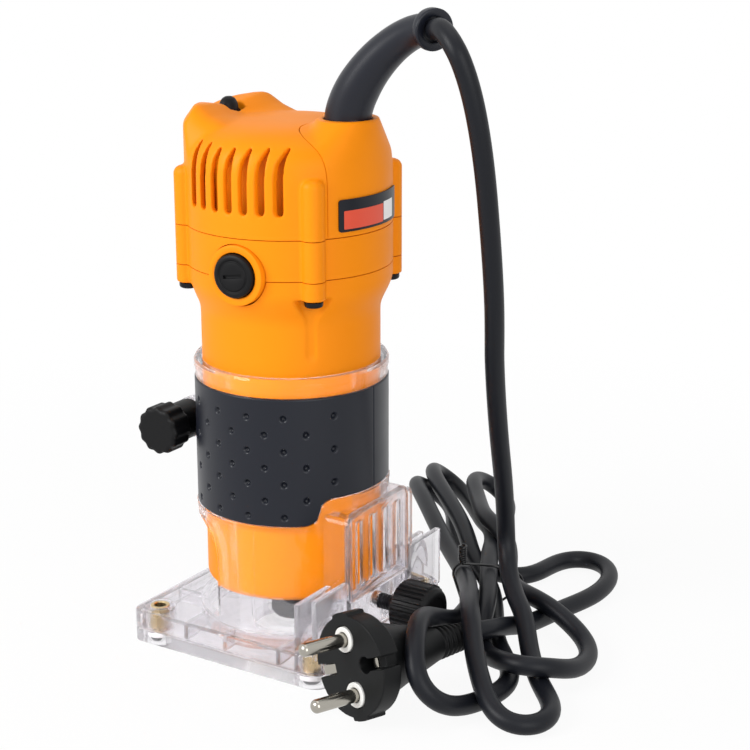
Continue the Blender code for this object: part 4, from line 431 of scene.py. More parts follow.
def ventCutters():
    half, high = vents["width"] / 2, vents["high"]
    cutters = []
    for k in range(vents["count"]):
        x = (k - (vents["count"] - 1) / 2) * vents["pitch"] + vents["shift"]
        # round below, drawn out to a point above
        outline = arc(x, vents["low"] + half, half, 180, 360, 8) + [(x + half, high - 0.6), (x + half - 0.3, high)]
        outline += [(x + half - 0.9, high - 0.3), (x + 0.35 - half, high - 5), (x - half, high - 9)]
        for side in (-1, 1):
            near, far = sorted((side * vents["from"], side * (head["radius"] + vents["past"])))
            cutters.append(prism("vent", outline, near, far, "y"))
    return cutters


rocker = {
    "x": 26.0, "z": 191.8, "radius": 3.9, "halfLength": 4.4, "crown": 8.3, "room": 0.5, "endRoom": 0.4,
    "crownRings": ((0, 1), (0.45, 1), (0.75, 0.86), (0.92, 0.62), (1, 0.3)), "crownShare": (0.86, 0.96),
    "skin": (0.25, 8),
}
cordPanel = {
    "innerX": 13.5, "halfWidth": 20.8, "corner": 12.0, "gap": 0.15, "guardX": 25.4, "rimTop": 196.5, "seatRadius": 8.6,
    "seatWall": 1.5, "seatDepth": 30.0, "skirt": 182.5, "skirtAngle": 48.0, "skirtFoot": (0.6, 6.0), "past": 8.0,
    "below": 9.0, "above": 12.0, "blend": (0.7, 44), "skin": (0.45, 3),
}


def panelSolid(name, grow):
    # plan of the cord cover, round at its inner corners
    reach, inner, corner = cordPanel["halfWidth"] + grow, cordPanel["innerX"] - grow, cordPanel["corner"] + grow
    outer = head["radius"] + cordPanel["past"]
    outline = arc(inner + corner, reach - corner, corner, 90, 180, 14)
    outline += arc(inner + corner, corner - reach, corner, 180, 270, 14) + [(outer, -reach), (outer, reach)]
    return prism(name, outline, head["coverLow"] - cordPanel["below"], headTop + cordPanel["above"])


def bossSolid(at, low, high, dome=True):
    radius = head["bossRadius"]
    crown = [(radius, high)]
    if dome:
        crown = [(radius, high - radius * 0.55), (radius * 0.8, high - radius * 0.2), (radius * 0.45, high - 0.1)]
    return lathe("boss", [(0, low), (radius, low), *crown, (0, high)], 40, at)


def makeTopCover():
    low = head["coverLow"] - head["over"]
    cover = join(domeSolid("top_cover_moulding", 0, low), ridgeSolid())
    moulded(cover, *head["coverBlend"])
    join(cover, *[bossSolid(at, low, head["bossTop"]) for at in bosses])
    room, end = rocker["radius"] + rocker["room"], rocker["halfLength"] + rocker["endRoom"]
    pocket = block(
        "pocket", (-rocker["x"] - room, -end, rocker["z"] - room), (-rocker["x"] + room, end, headTop + 9)
    )
    cut(cover, domeSolid("cavity", head["wall"], low - 3), pocket, *ventCutters())
    moulded(cover, *head["coverSkin"])
    trim(cover, head["coverLow"], headTop + head["above"])
    cut(cover, panelSolid("opening", cordPanel["gap"]))
    seat(cover, "motor", orangeAbs, "orange_housing", "top_cover")
    # plain ring behind the vents that keeps chips off the brush gear
    inner, outer = vents["baffle"] - vents["baffleWall"], vents["baffle"]
    low, high = head["bandTop"] + 1, vents["high"] - 1
    ring = lathe("vent_baffle", [(inner, low), (outer, low), (outer, high), (inner, high)], head["sides"])
    seat(ring, "motor", orangeAbs, "orange_housing")


def makeCordCover():
    low, top = head["coverLow"] - head["over"], cordPanel["rimTop"]
    seatRadius, at = cordPanel["seatRadius"], (cordPanel["guardX"], 0, 0)
    cover = domeSolid("cord_cover_moulding", 0, low)
    # skirt from the rim of the guard's seat out to the side of the head
    share, down = cordPanel["skirtFoot"]
    bm = bmesh.new()
    for u, v in arc(cordPanel["guardX"], 0, seatRadius + cordPanel["seatWall"], 0, 360, 64):
        bm.verts.new((u, v, top + 2))
    for u, v in arc(0, 0, head["radius"] - 0.2, -cordPanel["skirtAngle"], cordPanel["skirtAngle"], 48):
        bm.verts.new((u, v, cordPanel["skirt"]))
        bm.verts.new((u * share, v * share, cordPanel["skirt"] - down))
    bmesh.ops.convex_hull(bm, input=bm.verts)
    join(cover, fromBmesh("skirt", bm))
    moulded(cover, *cordPanel["blend"])
    trim(cover, low + 0.5, top)
    well = rod("well", seatRadius, top - cordPanel["seatDepth"], top + 5, 96, at)
    cut(cover, domeSolid("cavity", head["wall"], low - 3), well)
    moulded(cover, *cordPanel["skin"])
    shared(cover, panelSolid("keep", -cordPanel["gap"]))
    trim(cover, head["coverLow"], headTop + head["above"])
    seat(cover, "motor", orangeAbs, "orange_housing", "cord_cover")


brush = {
    "collar": 10.7, "collarReach": 0.8, "cap": 7.7, "capProud": 1.6, "capDepth": 4.5, "slot": 1.3, "slotHalf": 3.7,
    "slotDepth": 1.1, "z": 145.3, "turn": math.radians(4.9), "slotTurn": 8, "ease": 0.12, "sides": 96,
}


def brushOut(side):
    return (-side * math.sin(brush["turn"]), side * math.cos(brush["turn"]), 0)


def brushRods(name, radius, start, end):
    return [rod(name, radius, start, end, brush["sides"], (0, 0, brush["z"]), brushOut(side)) for side in (-1, 1)]


def makeBand():
    low, high = head["bandLow"], head["bandTop"]
    inner, over = head["radius"] - head["wall"], head["over"]
    profile = [(inner, low - over), (head["radius"], low - over), (head["radius"], high + over), (inner, high + over)]
    band = lathe("band_moulding", profile, head["sides"])
    join(band, *[bossSolid(at, low - over, high + over, False) for at in bosses])
    moulded(band, *head["bandSkin"])
    trim(band, low, high)
    cut(band, *brushRods("collar_room", brush["collar"] + 0.3, 20, head["radius"] + 8))
    cut(band, *[rod("screw_room", head["screwRoom"], low - 3, high + 3, 24, at) for at in bosses])
    seat(band, "motor", orangeAbs, "orange_housing", "middle_band")


housing = {
    "barrel": 32.5, "wall": 2.5, "low": 24.4, "barrelTop": 125.8, "flareTop": 139.8, "nose": 7.0, "floor": 6.0,
    "scoopHalf": 4.6, "scoop": 7.6, "grooveHalf": 1.6, "groove": 17.0, "grooveDepth": 0.5, "screwRoom": 4.8,
    "roomDepth": 4.0, "skin": (0.55, 4),
}


def scoopSolid(at):
    # hollow below a boss for the driver, running out in a groove down the barrel
    ahead = Vector(at).normalized()
    across = Vector((-ahead.y, ahead.x, 0))
    outer, barrel, deep = head["radius"] + 3, housing["barrel"], housing["grooveDepth"]
    scoop, groove, narrow = housing["scoop"], housing["groove"], housing["grooveHalf"]
    rings = []
    for fall, floor, half in (
        (0, barrel + deep, housing["scoopHalf"]), (scoop, barrel - deep / 2, narrow),
        (0.8 * groove + scoop, barrel - deep, narrow), (groove + scoop, barrel + deep / 2, narrow / 4),
    ):
        wide, z = half + outer - floor, head["bossLow"] - fall
        corners = ((floor, -half), (floor, half), (outer, wide), (outer, -wide))
        rings.append([ahead * out + across * side + Vector((0, 0, z)) for out, side in corners])
    return loft("scoop", rings)


def collarRing(side):
    end, start = head["radius"] + brush["collarReach"], head["radius"] - 5
    inner, outer = brush["cap"] + 0.3, brush["collar"]
    profile = [(inner, start), (outer, start), (outer, end - 0.5), (outer - 0.15, end - 0.15), (outer - 0.5, end)]
    profile += [(inner + 0.5, end), (inner + 0.15, end - 0.15), (inner, end - 0.5)]
    return lathe("collar", profile, brush["sides"], (0, 0, brush["z"]), brushOut(side))


def makeHousing():
    radius, barrel, nose = head["radius"], housing["barrel"], housing["nose"]
    top, low, bossLow = head["housingTop"] + head["over"], housing["low"], head["bossLow"]
    rise = housing["flareTop"] - housing["barrelTop"]
    flare = [
        (barrel + (radius - barrel) * (1 - math.cos(math.pi * t)) / 2, housing["barrelTop"] + rise * t)
        for t in np.linspace(0, 1, 13)
    ]
    inner, upper, floor = barrel - housing["wall"], radius - head["wall"], low + housing["floor"]
    profile = [
        (nose, low), (barrel - 1.6, low), (barrel - 0.5, low + 0.5), (barrel, low + 1.6), *flare, (radius, top),
        (upper, top), (upper, housing["flareTop"] + 2), (inner, housing["flareTop"] - 1), (inner, floor), (nose, floor),
    ]
    body = lathe("housing_moulding", profile, head["sides"])
    join(body, *[bossSolid(at, bossLow, top, False) for at in bosses])
    roomLow = bossLow - housing["roomDepth"]
    rooms = [rod("head_room", housing["screwRoom"], roomLow, bossLow, 32, at) for at in bosses]
    cut(body, *[scoopSolid(at) for at in bosses], *rooms)
    moulded(body, *housing["skin"])
    trim(body, 0, head["housingTop"])
    cut(body, *brushRods("collar_room", brush["collar"] + 0.5, 16, radius + 8))
    join(body, collarRing(-1), collarRing(1))
    seat(body, "motor", orangeAbs, "orange_housing", "motor_housing")


makeTopCover()
makeCordCover()
makeBand()
makeHousing()
print("head mouldings made")


def makeBrushCaps():
    face = head["radius"] + brush["collarReach"] + brush["capProud"]
    back, edge = face - brush["capDepth"], brush["cap"]
    slot, reach = brush["slot"] / 2, brush["slotHalf"]
    profile = [
        (0, back), (edge, back), (edge, face - 0.9), (edge - 0.25, face - 0.35), (edge - 0.9, face), (6.0, face),
        (5.6, face - 0.45), (5.2, face - 0.45), (4.9, face - 0.05), (0, face - 0.05),
    ]
    for number, side in ((1, -1), (2, 1)):
        cap = lathe("brush_cap_%d_moulding" % number, profile, brush["sides"])
        cut(cap, block("slot", (-reach, -slot, face - brush["slotDepth"]), (reach, slot, face + 2)))
        eased(cap, brush["ease"])
        tilt = Matrix.Rotation(math.radians(-brush["slotTurn"] * side), 4, "Z")
        cap.data.transform(Matrix.Translation((0, 0, brush["z"])) @ turnTo(brushOut(side)) @ tilt)
        seat(cap, "motor", blackNylon, "black_plastic", "brush_cap_%d" % number, sharp=30)


def makeRocker():
    half, radius, (wide, long) = rocker["halfLength"], rocker["radius"], rocker["crownShare"]
    body = rod("switch_rocker_moulding", radius, -half, half, 64, (-rocker["x"], 0, rocker["z"]), (0, 1, 0))
    rings = []
    for rise, share in rocker["crownRings"]:
        across, along = wide * radius * share, long * half * share
        ring = [(across * math.cos(a), along * math.sin(a)) for a in np.radians(np.arange(0, 360, 10))]
        rings.append([(u - rocker["x"], v, rocker["z"] + rise * rocker["crown"]) for u, v in ring])
    join(body, loft("crown", rings))
    moulded(body, *rocker["skin"])
    seat(body, "switch", blackNylon, "black_plastic", "switch_rocker", sharp=None)


makeBrushCaps()
makeRocker()
print("brush caps and switch made")


# Blank plate on the cord cover, with two plain fields

plate = {
    "radius": 37.2, "thick": 0.45, "left": -28.2, "right": 27.0, "low": 160.1, "high": 171.3, "corner": 1.1, "cuts": 48,
    "proud": 0.02, "film": 0.06, "filmCorner": 0.35,
}
# the two fields: name, left and right in degrees, margins below and above, film
fields = (("coral_field", -25.2, 5.0, 0.9, 3.9, coralFilm), ("white_field", 5.6, 18.0, 1.2, 3.4, whiteFilm))


def curvedPlate(name, left, right, low, high, radius, thick, corner):
    # rounded rectangle wrapped round the head
    scale = math.radians(1) * plate["radius"]
    start, end = left * scale, right * scale
    flat = prism(name, roundedOutline(start, end, low, high, corner, 6), 0, thick, "x")
    for k in range(1, plate["cuts"]):
        bm = bmesh.new()
        bm.from_mesh(flat.data)
        whole = list(bm.verts) + list(bm.edges) + list(bm.faces)
        at = (0, start + (end - start) * k / plate["cuts"], 0)
        bmesh.ops.bisect_plane(bm, geom=whole, plane_co=at, plane_no=(0, 1, 0))
        bm.to_mesh(flat.data)
        bm.free()
    for vert in flat.data.vertices:
        angle, reach = vert.co.y / plate["radius"], radius + vert.co.x
        vert.co = (reach * math.cos(angle), reach * math.sin(angle), vert.co.z)
    return flat


def makePlate():
    sides, low, high = (plate["left"], plate["right"]), plate["low"], plate["high"]
    film = curvedPlate("name_plate_film", *sides, low, high, plate["radius"], plate["thick"], plate["corner"])
    seat(film, "motor", slateFilm, "blank_label", "nameplate", sharp=40)
    over = plate["radius"] + plate["thick"] + plate["proud"]
    for name, left, right, below, above, material in fields:
        field = curvedPlate(name, left, right, low + below, high - above, over, plate["film"], plate["filmCorner"])
        seat(field, "motor", material, "blank_label", sharp=40)


makePlate()
print("blank plate made")


# Lead: guard, free drop, folded bundle, plug and tie. The route is in metres

lead = {
    "diameter": 0.007, "gap": 0.0003, "strandClearance": 0.0014, "leastBend": 0.015, "settleStep": 0.003,
    "settleRounds": 300, "kinkRounds": 10, "foot": np.array((0.0631, 0.05, 0.048)), "straight": 0.003,
    "tieAt": (0.055, 0.052), "tieHeading": math.radians(-52), "tieLift": 0.0026, "sides": 24, "pointStep": 0.0025,
    "ringStep": 0.00125, "sight": np.array((0.516, -0.807, 0.286)), "mouthBend": 0.013, "leanPower": 1.3,
    "mouthShare": 0.2, "sweepRounds": 240, "foldPasses": 4, "foldRounds": 5, "routePoints": 400, "dropPoints": 72,
    "plugRun": 1.3,
    # stretches to smooth, measured from the drop's foot, the mouth's from its top: start, fade, end, fade
    "sweep": (-0.1, 0.03, 0.014, 0.014), "mouth": (0.004, 0.006, 0.06, 0.02), "fold": (-0.04, 0.02, 0.04, 0.02),
}
guard = {
    "x": 0.0254, "azimuth": math.radians(-8), "taper": ((0, 0.0083), (0.25, 0.0077), (0.6, 0.0063), (1, 0.0049)),
    "collar": 0.0071, "collarLength": 0.0034, "collarFade": 0.0008, "headTop": 0.1947, "straight": 0.002,
    "reach": 0.03615, "rise": 0.0323, "arc": math.radians(94), "rootDepth": 0.012, "lean": 0.74, "swing": 0.0184,
    "mouth": 0.0044, "mouthDepth": 0.003, "lip": 0.0004, "coarse": 13, "fine": 60, "sides": 48,
}
plug = {
    "face": np.array((0.06, -0.0535, 0.0196)), "aim": np.array(Vector((0.287, 0.954, -0.08)).normalized()),
    "roll": math.radians(-24), "radius": 0.0182, "neck": 0.8, "tab": 0.0011, "tabHalf": 12.6, "disc": 0.008,
    "backRadius": 0.011, "back": 0.02, "tailRadius": 0.0062, "tail": 0.038, "length": 0.056, "relief": 0.0046,
    "pinRadius": 0.0024, "pinLength": 0.019, "pinSpacing": 0.019,
    # in millimetres: rim, earth slots and hole, grooves of the tail, rooms of the pins' collars, earth strips
    "rim": 17.6, "slotHalf": 2.0, "slotDepth": 9.6, "holeAt": 8.2, "holeRadius": 2.9, "ribs": 7, "ribShift": 0.6,
    "collarRoom": (4.7, 1.8), "collar": 4.4, "collarBack": 1.5, "nose": 0.8, "pinBack": 5, "stripHalf": 1.7,
    "stripEase": 0.1, "skin": (0.3, 6), "sides": 48,
}
# the guide knob stands here because the lead lies clear of it: its place and outline are in metres like the route,
# its ribs and stud in millimetres
guideKnob = {
    "z": 0.0195, "radius": 0.0102, "startX": 0.0463, "endX": 0.062, "ribs": 28, "ribHalf": 0.62, "ribTall": 0.85,
    "ribRoot": 0.75, "stud": 3.0, "studLow": 33.4, "studHigh": 51.0, "pitch": 1.25, "thread": 0.55,
}
# shares of the way across to the drop's foot, how far it stands out ahead of the guard, shares of its fall
dropShape = (
    (0, 0.0078, 0.019), (0.005, 0.0102, 0.047), (0.02, 0.0129, 0.085), (0.025, 0.015, 0.12), (0.03, 0.0182, 0.19),
    (0.045, 0.0222, 0.335), (0.07, 0.0248, 0.485), (0.12, 0.0247, 0.643), (0.29, 0.0201, 0.741), (0.46, 0.0155, 0.823),
    (0.69, 0.0082, 0.916),
)


def runLengths(path):
    # length of the path up to each of its points
    return np.concatenate(([0], np.cumsum(np.linalg.norm(np.diff(path, axis=0), axis=1))))


def pathLength(path):
    return np.linalg.norm(np.diff(path, axis=0), axis=1).sum()


def evenPoints(path, count):
    lengths = runLengths(path)
    places = np.linspace(0, lengths[-1], count)
    return np.stack([np.interp(places, lengths, path[:, axis]) for axis in range(3)], axis=1)


def smoothPath(points, count, fine=24):
    # centripetal Catmull-Rom through the route's points
    points = np.array(points)
    route = np.concatenate((2 * points[:1] - points[1:2], points, 2 * points[-1:] - points[-2:-1]))
    curve = []
    for p0, p1, p2, p3 in zip(route, route[1:], route[2:], route[3:]):
        t1 = np.linalg.norm(p1 - p0) ** 0.5
        t2 = t1 + np.linalg.norm(p2 - p1) ** 0.5
        t3 = t2 + np.linalg.norm(p3 - p2) ** 0.5
        for t in np.linspace(t1, t2, fine, endpoint=False):
            a1 = p0 + (p1 - p0) * t / t1
            a2 = p1 + (p2 - p1) * (t - t1) / (t2 - t1)
            a3 = p2 + (p3 - p2) * (t - t2) / (t3 - t2)
            b1 = a1 + (a2 - a1) * t / t2
            b2 = a2 + (a3 - a2) * (t - t1) / (t3 - t1)
            curve.append(b1 + (b2 - b1) * (t - t1) / (t2 - t1))
    curve.append(points[-1])
    return evenPoints(np.array(curve), count)


def levelHeading(angle):
    return np.array((math.cos(angle), math.sin(angle), 0))


def fold(x, y, z, heading, radius, tilt, turn):
    # half turn at the end of a loop, leaning so that the run that comes in is the higher one
    ahead, lean = levelHeading(math.radians(heading)), math.radians(tilt)
    side = np.array((turn * ahead[1] * math.cos(lean), -turn * ahead[0] * math.cos(lean), math.sin(lean)))
    centre = np.array((x, y, z))
    return [centre + radius * (math.cos(a) * ahead + math.sin(a) * side) for a in np.radians((90, 45, 0, -45, -90))]


dropOut = levelHeading(guard["azimuth"])


def bundleRoute():
    end = plug["face"] + plug["aim"] * (plug["length"] + lead["gap"])
    foot = lead["foot"] - np.array((0, 0, lead["gap"]))
    runs = [
        [(65, 47, 30), (70, 39, 20.5), (77, 29, 15), (87, 19, 10), (101, 4, 5)],
        fold(110.5, -25, 4, -53, 12.5, 0, -1),
        [(93, -23, 10), (86, -15, 16), (79, -6, 22), (73, 4, 24), (67, 15, 23), (61, 26, 20.5), (54, 38, 18)],
        [(40, 55, 16), (27, 68, 17), (8, 88, 20)],
        fold(-14, 127, 12.5, 130, 12.5, 45, -1),
        [(4, 112, 5), (24, 86, 5), (40, 64, 6), (52, 46, 9), (58, 32, 11), (62, 16, 14), (66, -4, 20)],
        fold(82, -36, 14.5, -70, 14, 42, 1),
        [(98, -18, 4), (96, -4, 4), (87, 9, 4), (76, 23, 4), (66, 37, 4)],
        [(56, 53, 6), (43, 69, 11), (32, 80, 15), (14, 98, 19)],
        fold(-15, 141, 12.5, 127, 12.5, 45, -1),
        [(10, 126, 6), (27, 103, 11), (39, 83, 13), (50, 63, 13), (60, 43, 13), (68, 27, 14), (73, 18, 11), (80, 7, 9)],
        [(91, -5, 10.5), (101, -11, 11.5), (109, -4, 9), (112, 9, 5), (113, 20, 4), (110, 32, 4), (104, 39, 5)],
        [(97, 42, 9), (88, 44, 12), (77, 46, 13), (64, 53, 13), (51, 69, 13), (37, 86, 14), (20, 108, 18)],
        fold(6, 143, 12.5, 119, 12.5, 45, -1),
        [(18, 130, 4), (28, 108, 4)],
        fold(48, 85, 4, -62, 12.5, 0, 1),
        [(58, 104, 4), (63, 111, 4), (72, 114, 4), (83, 105, 4), (87, 92, 4), (88, 77, 4), (85, 66, 4), (82, 53, 4)],
        [(80, 39, 4), (78.8, 22, 6.5)],
    ]
    middle = [np.array(point) / 1000 for run in runs for point in run]
    start = [foot, foot - np.array((0, 0, lead["diameter"]))]
    return start + middle + [end + plug["aim"] * lead["plugRun"] * lead["diameter"], end]


def offPlug(path, clearance):
    along = (path - plug["face"]) @ plug["aim"]
    places = (0, plug["disc"], plug["disc"] + plug["tab"] * 2, plug["back"], plug["tail"], plug["length"])
    rim = plug["radius"] + plug["tab"]
    radii = (rim, rim, plug["neck"] * plug["radius"], plug["backRadius"], plug["tailRadius"], plug["relief"])
    wanted = np.interp(along, places, radii) + clearance
    off = path - plug["face"] - np.outer(along, plug["aim"])
    reach = np.maximum(np.linalg.norm(off, axis=1), 1e-9)
    inside = (along > -clearance) & (along < plug["length"] + clearance / 3) & (reach < wanted)
    return np.where(inside[:, None], off / reach[:, None] * (wanted - reach)[:, None], 0)


def offKnob(path, clearance):
    reach = np.hypot(path[:, 1], path[:, 2] - guideKnob["z"])
    wanted = np.where(reach < guideKnob["radius"] + clearance, guideKnob["endX"] + clearance, -1)
    push = np.zeros_like(path)
    push[:, 0] = np.maximum(wanted - path[:, 0], 0)
    return push


def bowOf(path):
    # how far each inner point stands off the middle of its neighbours
    return (path[:-2] + path[2:]) / 2 - path[1:-1]


# shares of each move that a round makes, lengths in strand clearances or diameters, and the sag span in points
settle = {
    "push": 0.3, "longestPush": 0.001, "open": 0.32, "kink": 0.35, "bow": 0.04, "bowLift": (1, 1, 2.5),
    "home": (0.008, 0.008, 0.002), "obstacle": 0.4, "sink": (0, 0, -0.000008), "neighbour": 3.2, "held": 2.2, "span": 4,
    "tieReach": 4,
}


def settled(path):
    # the strands come to rest on the floor, on the plug and on each other
    home, count, span = path.copy(), len(path), settle["span"]
    step = pathLength(path) / (count - 1)
    clear = lead["diameter"] + lead["strandClearance"]
    order = np.arange(count)
    apart = np.abs(order[:, None] - order) * step > settle["neighbour"] * clear
    held = int(round(settle["held"] * lead["diameter"] / step))
    slack = (span * step) ** 2 / (2 * lead["leastBend"])
    for _ in range(lead["settleRounds"]):
        between = path[:, None] - path
        distance = np.linalg.norm(between, axis=2)
        close = np.where(apart & (distance < clear), (clear - distance) / np.maximum(distance, 1e-9), 0)
        push = settle["push"] * (between * close[:, :, None]).sum(axis=1)
        push *= np.minimum(1, settle["longestPush"] / np.maximum(np.linalg.norm(push, axis=1), 1e-12))[:, None]
        bow, kink, bend = (np.zeros_like(path) for _ in range(3))
        bow[1:-1] = bowOf(path)
        kink[2:-2] = bowOf(bow[1:-1])
        sag = (path[: -2 * span] + path[2 * span :]) / 2 - path[span:-span]
        size = np.maximum(np.linalg.norm(sag, axis=1), 1e-12)
        openUp = settle["open"] * sag * (np.maximum(size - slack, 0) / size)[:, None]
        bend[span:-span] += openUp
        bend[: -2 * span] -= openUp / 2
        bend[2 * span :] -= openUp / 2
        move = push + bend - settle["kink"] * kink + settle["bow"] * bow * settle["bowLift"]
        move += (home - path) * settle["home"]
        obstacles = settle["obstacle"] * offPlug(path, clear / 2) + settle["obstacle"] * offKnob(path, clear / 2)
        move += obstacles + settle["sink"]
        move[:held] = move[-held:] = 0
        path = path + move
        offTie = np.linalg.norm(path[:, :2] - lead["tieAt"], axis=1) / (settle["tieReach"] * lead["diameter"])
        floor = lead["diameter"] / 2 + lead["gap"] + lead["tieLift"] * np.exp(-(offTie**2))
        path[:, 2] = np.where((order < held) | (order >= count - held), path[:, 2], np.maximum(path[:, 2], floor))
    return path


def guardPath(steps):
    foot, up = np.array((guard["x"], 0, 0)), np.array((0, 0, 1))
    points = [foot + up * (guard["headTop"] - guard["rootDepth"]), foot + up * guard["headTop"]]
    aside = np.array((-dropOut[1], dropOut[0], 0))
    for share in np.linspace(0, 1, steps):
        # leans out early, and swings back so that its mouth turns to the near side
        angle = guard["arc"] * share
        across = guard["reach"] * (1 - math.cos(angle)) ** guard["lean"]
        bulge = guard["swing"] * share**2 * (1 - share)
        rise = guard["headTop"] + guard["straight"] + guard["rise"] * math.sin(angle)
        points.append(foot + dropOut * across + aside * bulge + up * rise)
    return np.array(points)


def dropPath():
    path = guardPath(guard["coarse"])
    heading = (path[-1] - path[-2]) / np.linalg.norm(path[-1] - path[-2])
    start, foot = path[-1] + heading * lead["gap"], lead["foot"]
    route = [start, start + heading * lead["straight"]]
    for share, reach, fall in dropShape:
        route.append(start + (foot - start) * (share, share, fall) + dropOut * reach)
    route += [foot + np.array((0, 0, lead["diameter"])), foot]
    return smoothPath(route, lead["dropPoints"])


def headings(path):
    tangents = np.gradient(path, axis=0)
    return tangents / np.linalg.norm(tangents, axis=1)[:, None]


def sweptTube(name, path, radii, sides, tangents=None):
    # round tube with closed ends along a path, with a frame that doesn't twist
    tangents = headings(path) if tangents is None else tangents
    normal = np.cross(tangents[0], (0.3, 0.9, 0.2))
    angles = np.linspace(0, 2 * math.pi, sides, endpoint=False)
    rings = []
    for point, tangent, radius in zip(path, tangents, radii):
        normal = normal - tangent * (normal @ tangent)
        normal /= np.linalg.norm(normal)
        binormal = np.cross(tangent, normal)
        rings.append([point + radius * (math.cos(a) * normal + math.sin(a) * binormal) for a in angles])
    return loft(name, rings)


def restingBundle():
    first = smoothPath(bundleRoute(), lead["routePoints"])
    path = settled(evenPoints(first, int(pathLength(first) / lead["settleStep"])))
    for _ in range(lead["kinkRounds"]):
        # takes out the last small kinks that the contacts left
        path[4:-4] += 0.5 * bowOf(path[3:-3])
    return path


def stretch(places, start, startFade, end, endFade):
    # one between start and end, with a straight fade at both
    return np.clip((places - start) / startFade, 0, 1) * np.clip((end - places) / endFade, 0, 1)


def relaxed(path, share, rounds):
    for _ in range(rounds):
        path[1:-1] += 0.5 * share[1:-1, None] * bowOf(path)
    return path


def bowedOut(path):
    # bows out of the guard's mouth towards the front and then leans back; the picture doesn't show this depth
    depth, turn = path @ lead["sight"], lead["mouthBend"]
    flat = path - depth[:, None] * lead["sight"]
    fallen = runLengths(flat)
    bend = np.minimum(fallen, turn)
    lean = np.clip((fallen - turn) / (fallen[-1] - turn), 0, 1) ** lead["leanPower"]
    bowed = depth[0] + np.sqrt(bend * (2 * turn - bend))
    bowed += (depth[-1] - depth[0] - turn) * lean
    return flat + bowed[:, None] * lead["sight"]


def wholeLead(bundle):
    drop = dropPath()
    path, footAt = np.concatenate((drop[:-1], bundle)), pathLength(drop)
    path = evenPoints(path, int(pathLength(path) / lead["pointStep"]))
    count = len(path)
    along = np.linspace(-footAt, pathLength(path) - footAt, count)
    # the drop runs into the bundle in one sweep
    share = np.maximum(stretch(along, *lead["sweep"]), lead["mouthShare"] * stretch(along + footAt, *lead["mouth"]))
    path = relaxed(path, share, lead["sweepRounds"])
    dropEnd = int(np.searchsorted(along, 0)) + 1
    path[:dropEnd] = bowedOut(path[:dropEnd])
    path = smoothPath(path, count)
    for _ in range(lead["foldPasses"]):
        # rounds the fold under the drop, with the points spaced evenly again in between
        path = relaxed(evenPoints(path, count), stretch(along, *lead["fold"]), lead["foldRounds"])
    return smoothPath(evenPoints(path, count), int(pathLength(path) / lead["ringStep"]))


bundlePath = restingBundle()
leadPath = wholeLead(bundlePath)
print("lead settled, %.3f m long" % pathLength(leadPath))


def makeLead():
    tube = sweptTube("mains_lead", leadPath * 1000, np.full(len(leadPath), lead["diameter"] * 500), lead["sides"])
    return seat(tube, None, sheathPvc, "cord_sheath", "cord_drop", "cord_bundle", sharp=60)


def makeGuard():
    path = guardPath(guard["fine"])
    lengths, root = runLengths(path), guard["rootDepth"]
    collar, mouth, lip = guard["collar"], guard["mouth"], guard["lip"]
    radii = np.interp((lengths - root) / (lengths[-1] - root), *zip(*guard["taper"]))
    toEnd = lengths[-1] - lengths
    swell = np.clip((guard["collarLength"] - toEnd) / guard["collarFade"] + 0.5, 0, 1)
    radii = radii + (collar - radii) * swell * swell * (3 - 2 * swell)
    tangents = headings(path)
    # rounded lip of the collar, then the mouth that the lead comes out of: offset from the tip, radius
    tip, end, keep = path[-1], tangents[-1], toEnd > lip
    rings = [(-lip, collar), (-0.0001, collar - 0.0002), (0, collar - 0.0006), (0, mouth + lip)]
    rings += [(-0.0003, mouth), (-guard["mouthDepth"], mouth)]
    path = np.concatenate((path[keep], [tip + end * off for off, _ in rings]))
    radii = np.concatenate((radii[keep], [radius for _, radius in rings]))
    tangents = np.concatenate((tangents[keep], [end] * len(rings)))
    tube = sweptTube("cord_guard_moulding", path * 1000, radii * 1000, guard["sides"], tangents)
    seat(tube, "motor", charcoalRubber, "charcoal_rubber", "cord_guard", sharp=50)


leadTube = makeLead()
makeGuard()
print("lead and guard made")


def plugFace(steps=24):
    # round face with a tab above and below and an earth slot each side
    radius, tab = plug["rim"], plug["tab"] * 1000
    halfTab, slot, depth = plug["tabHalf"], plug["slotHalf"], plug["slotDepth"]
    halfSlot = math.degrees(math.asin(slot / radius))
    points = []
    for quarter in range(4):
        middle, slotted = quarter * 90, quarter % 2 == 0
        inset, after = (halfSlot, halfTab) if slotted else (halfTab, halfSlot)
        if slotted:
            side = 1 - quarter
            points += [(side * (radius - depth), -side * slot), (side * (radius - depth), side * slot)]
        else:
            points += arc(0, 0, radius + tab, middle - inset, middle + inset, 6)
        points += arc(0, 0, radius, middle + inset + 0.5, middle + 90 - after - 0.5, steps)
    return points


def aimPlug(obj):
    place = Matrix.Translation(Vector(plug["face"]) * 1000)
    obj.data.transform(place @ turnTo(plug["aim"]) @ Matrix.Rotation(plug["roll"], 4, "Z"))
    return obj


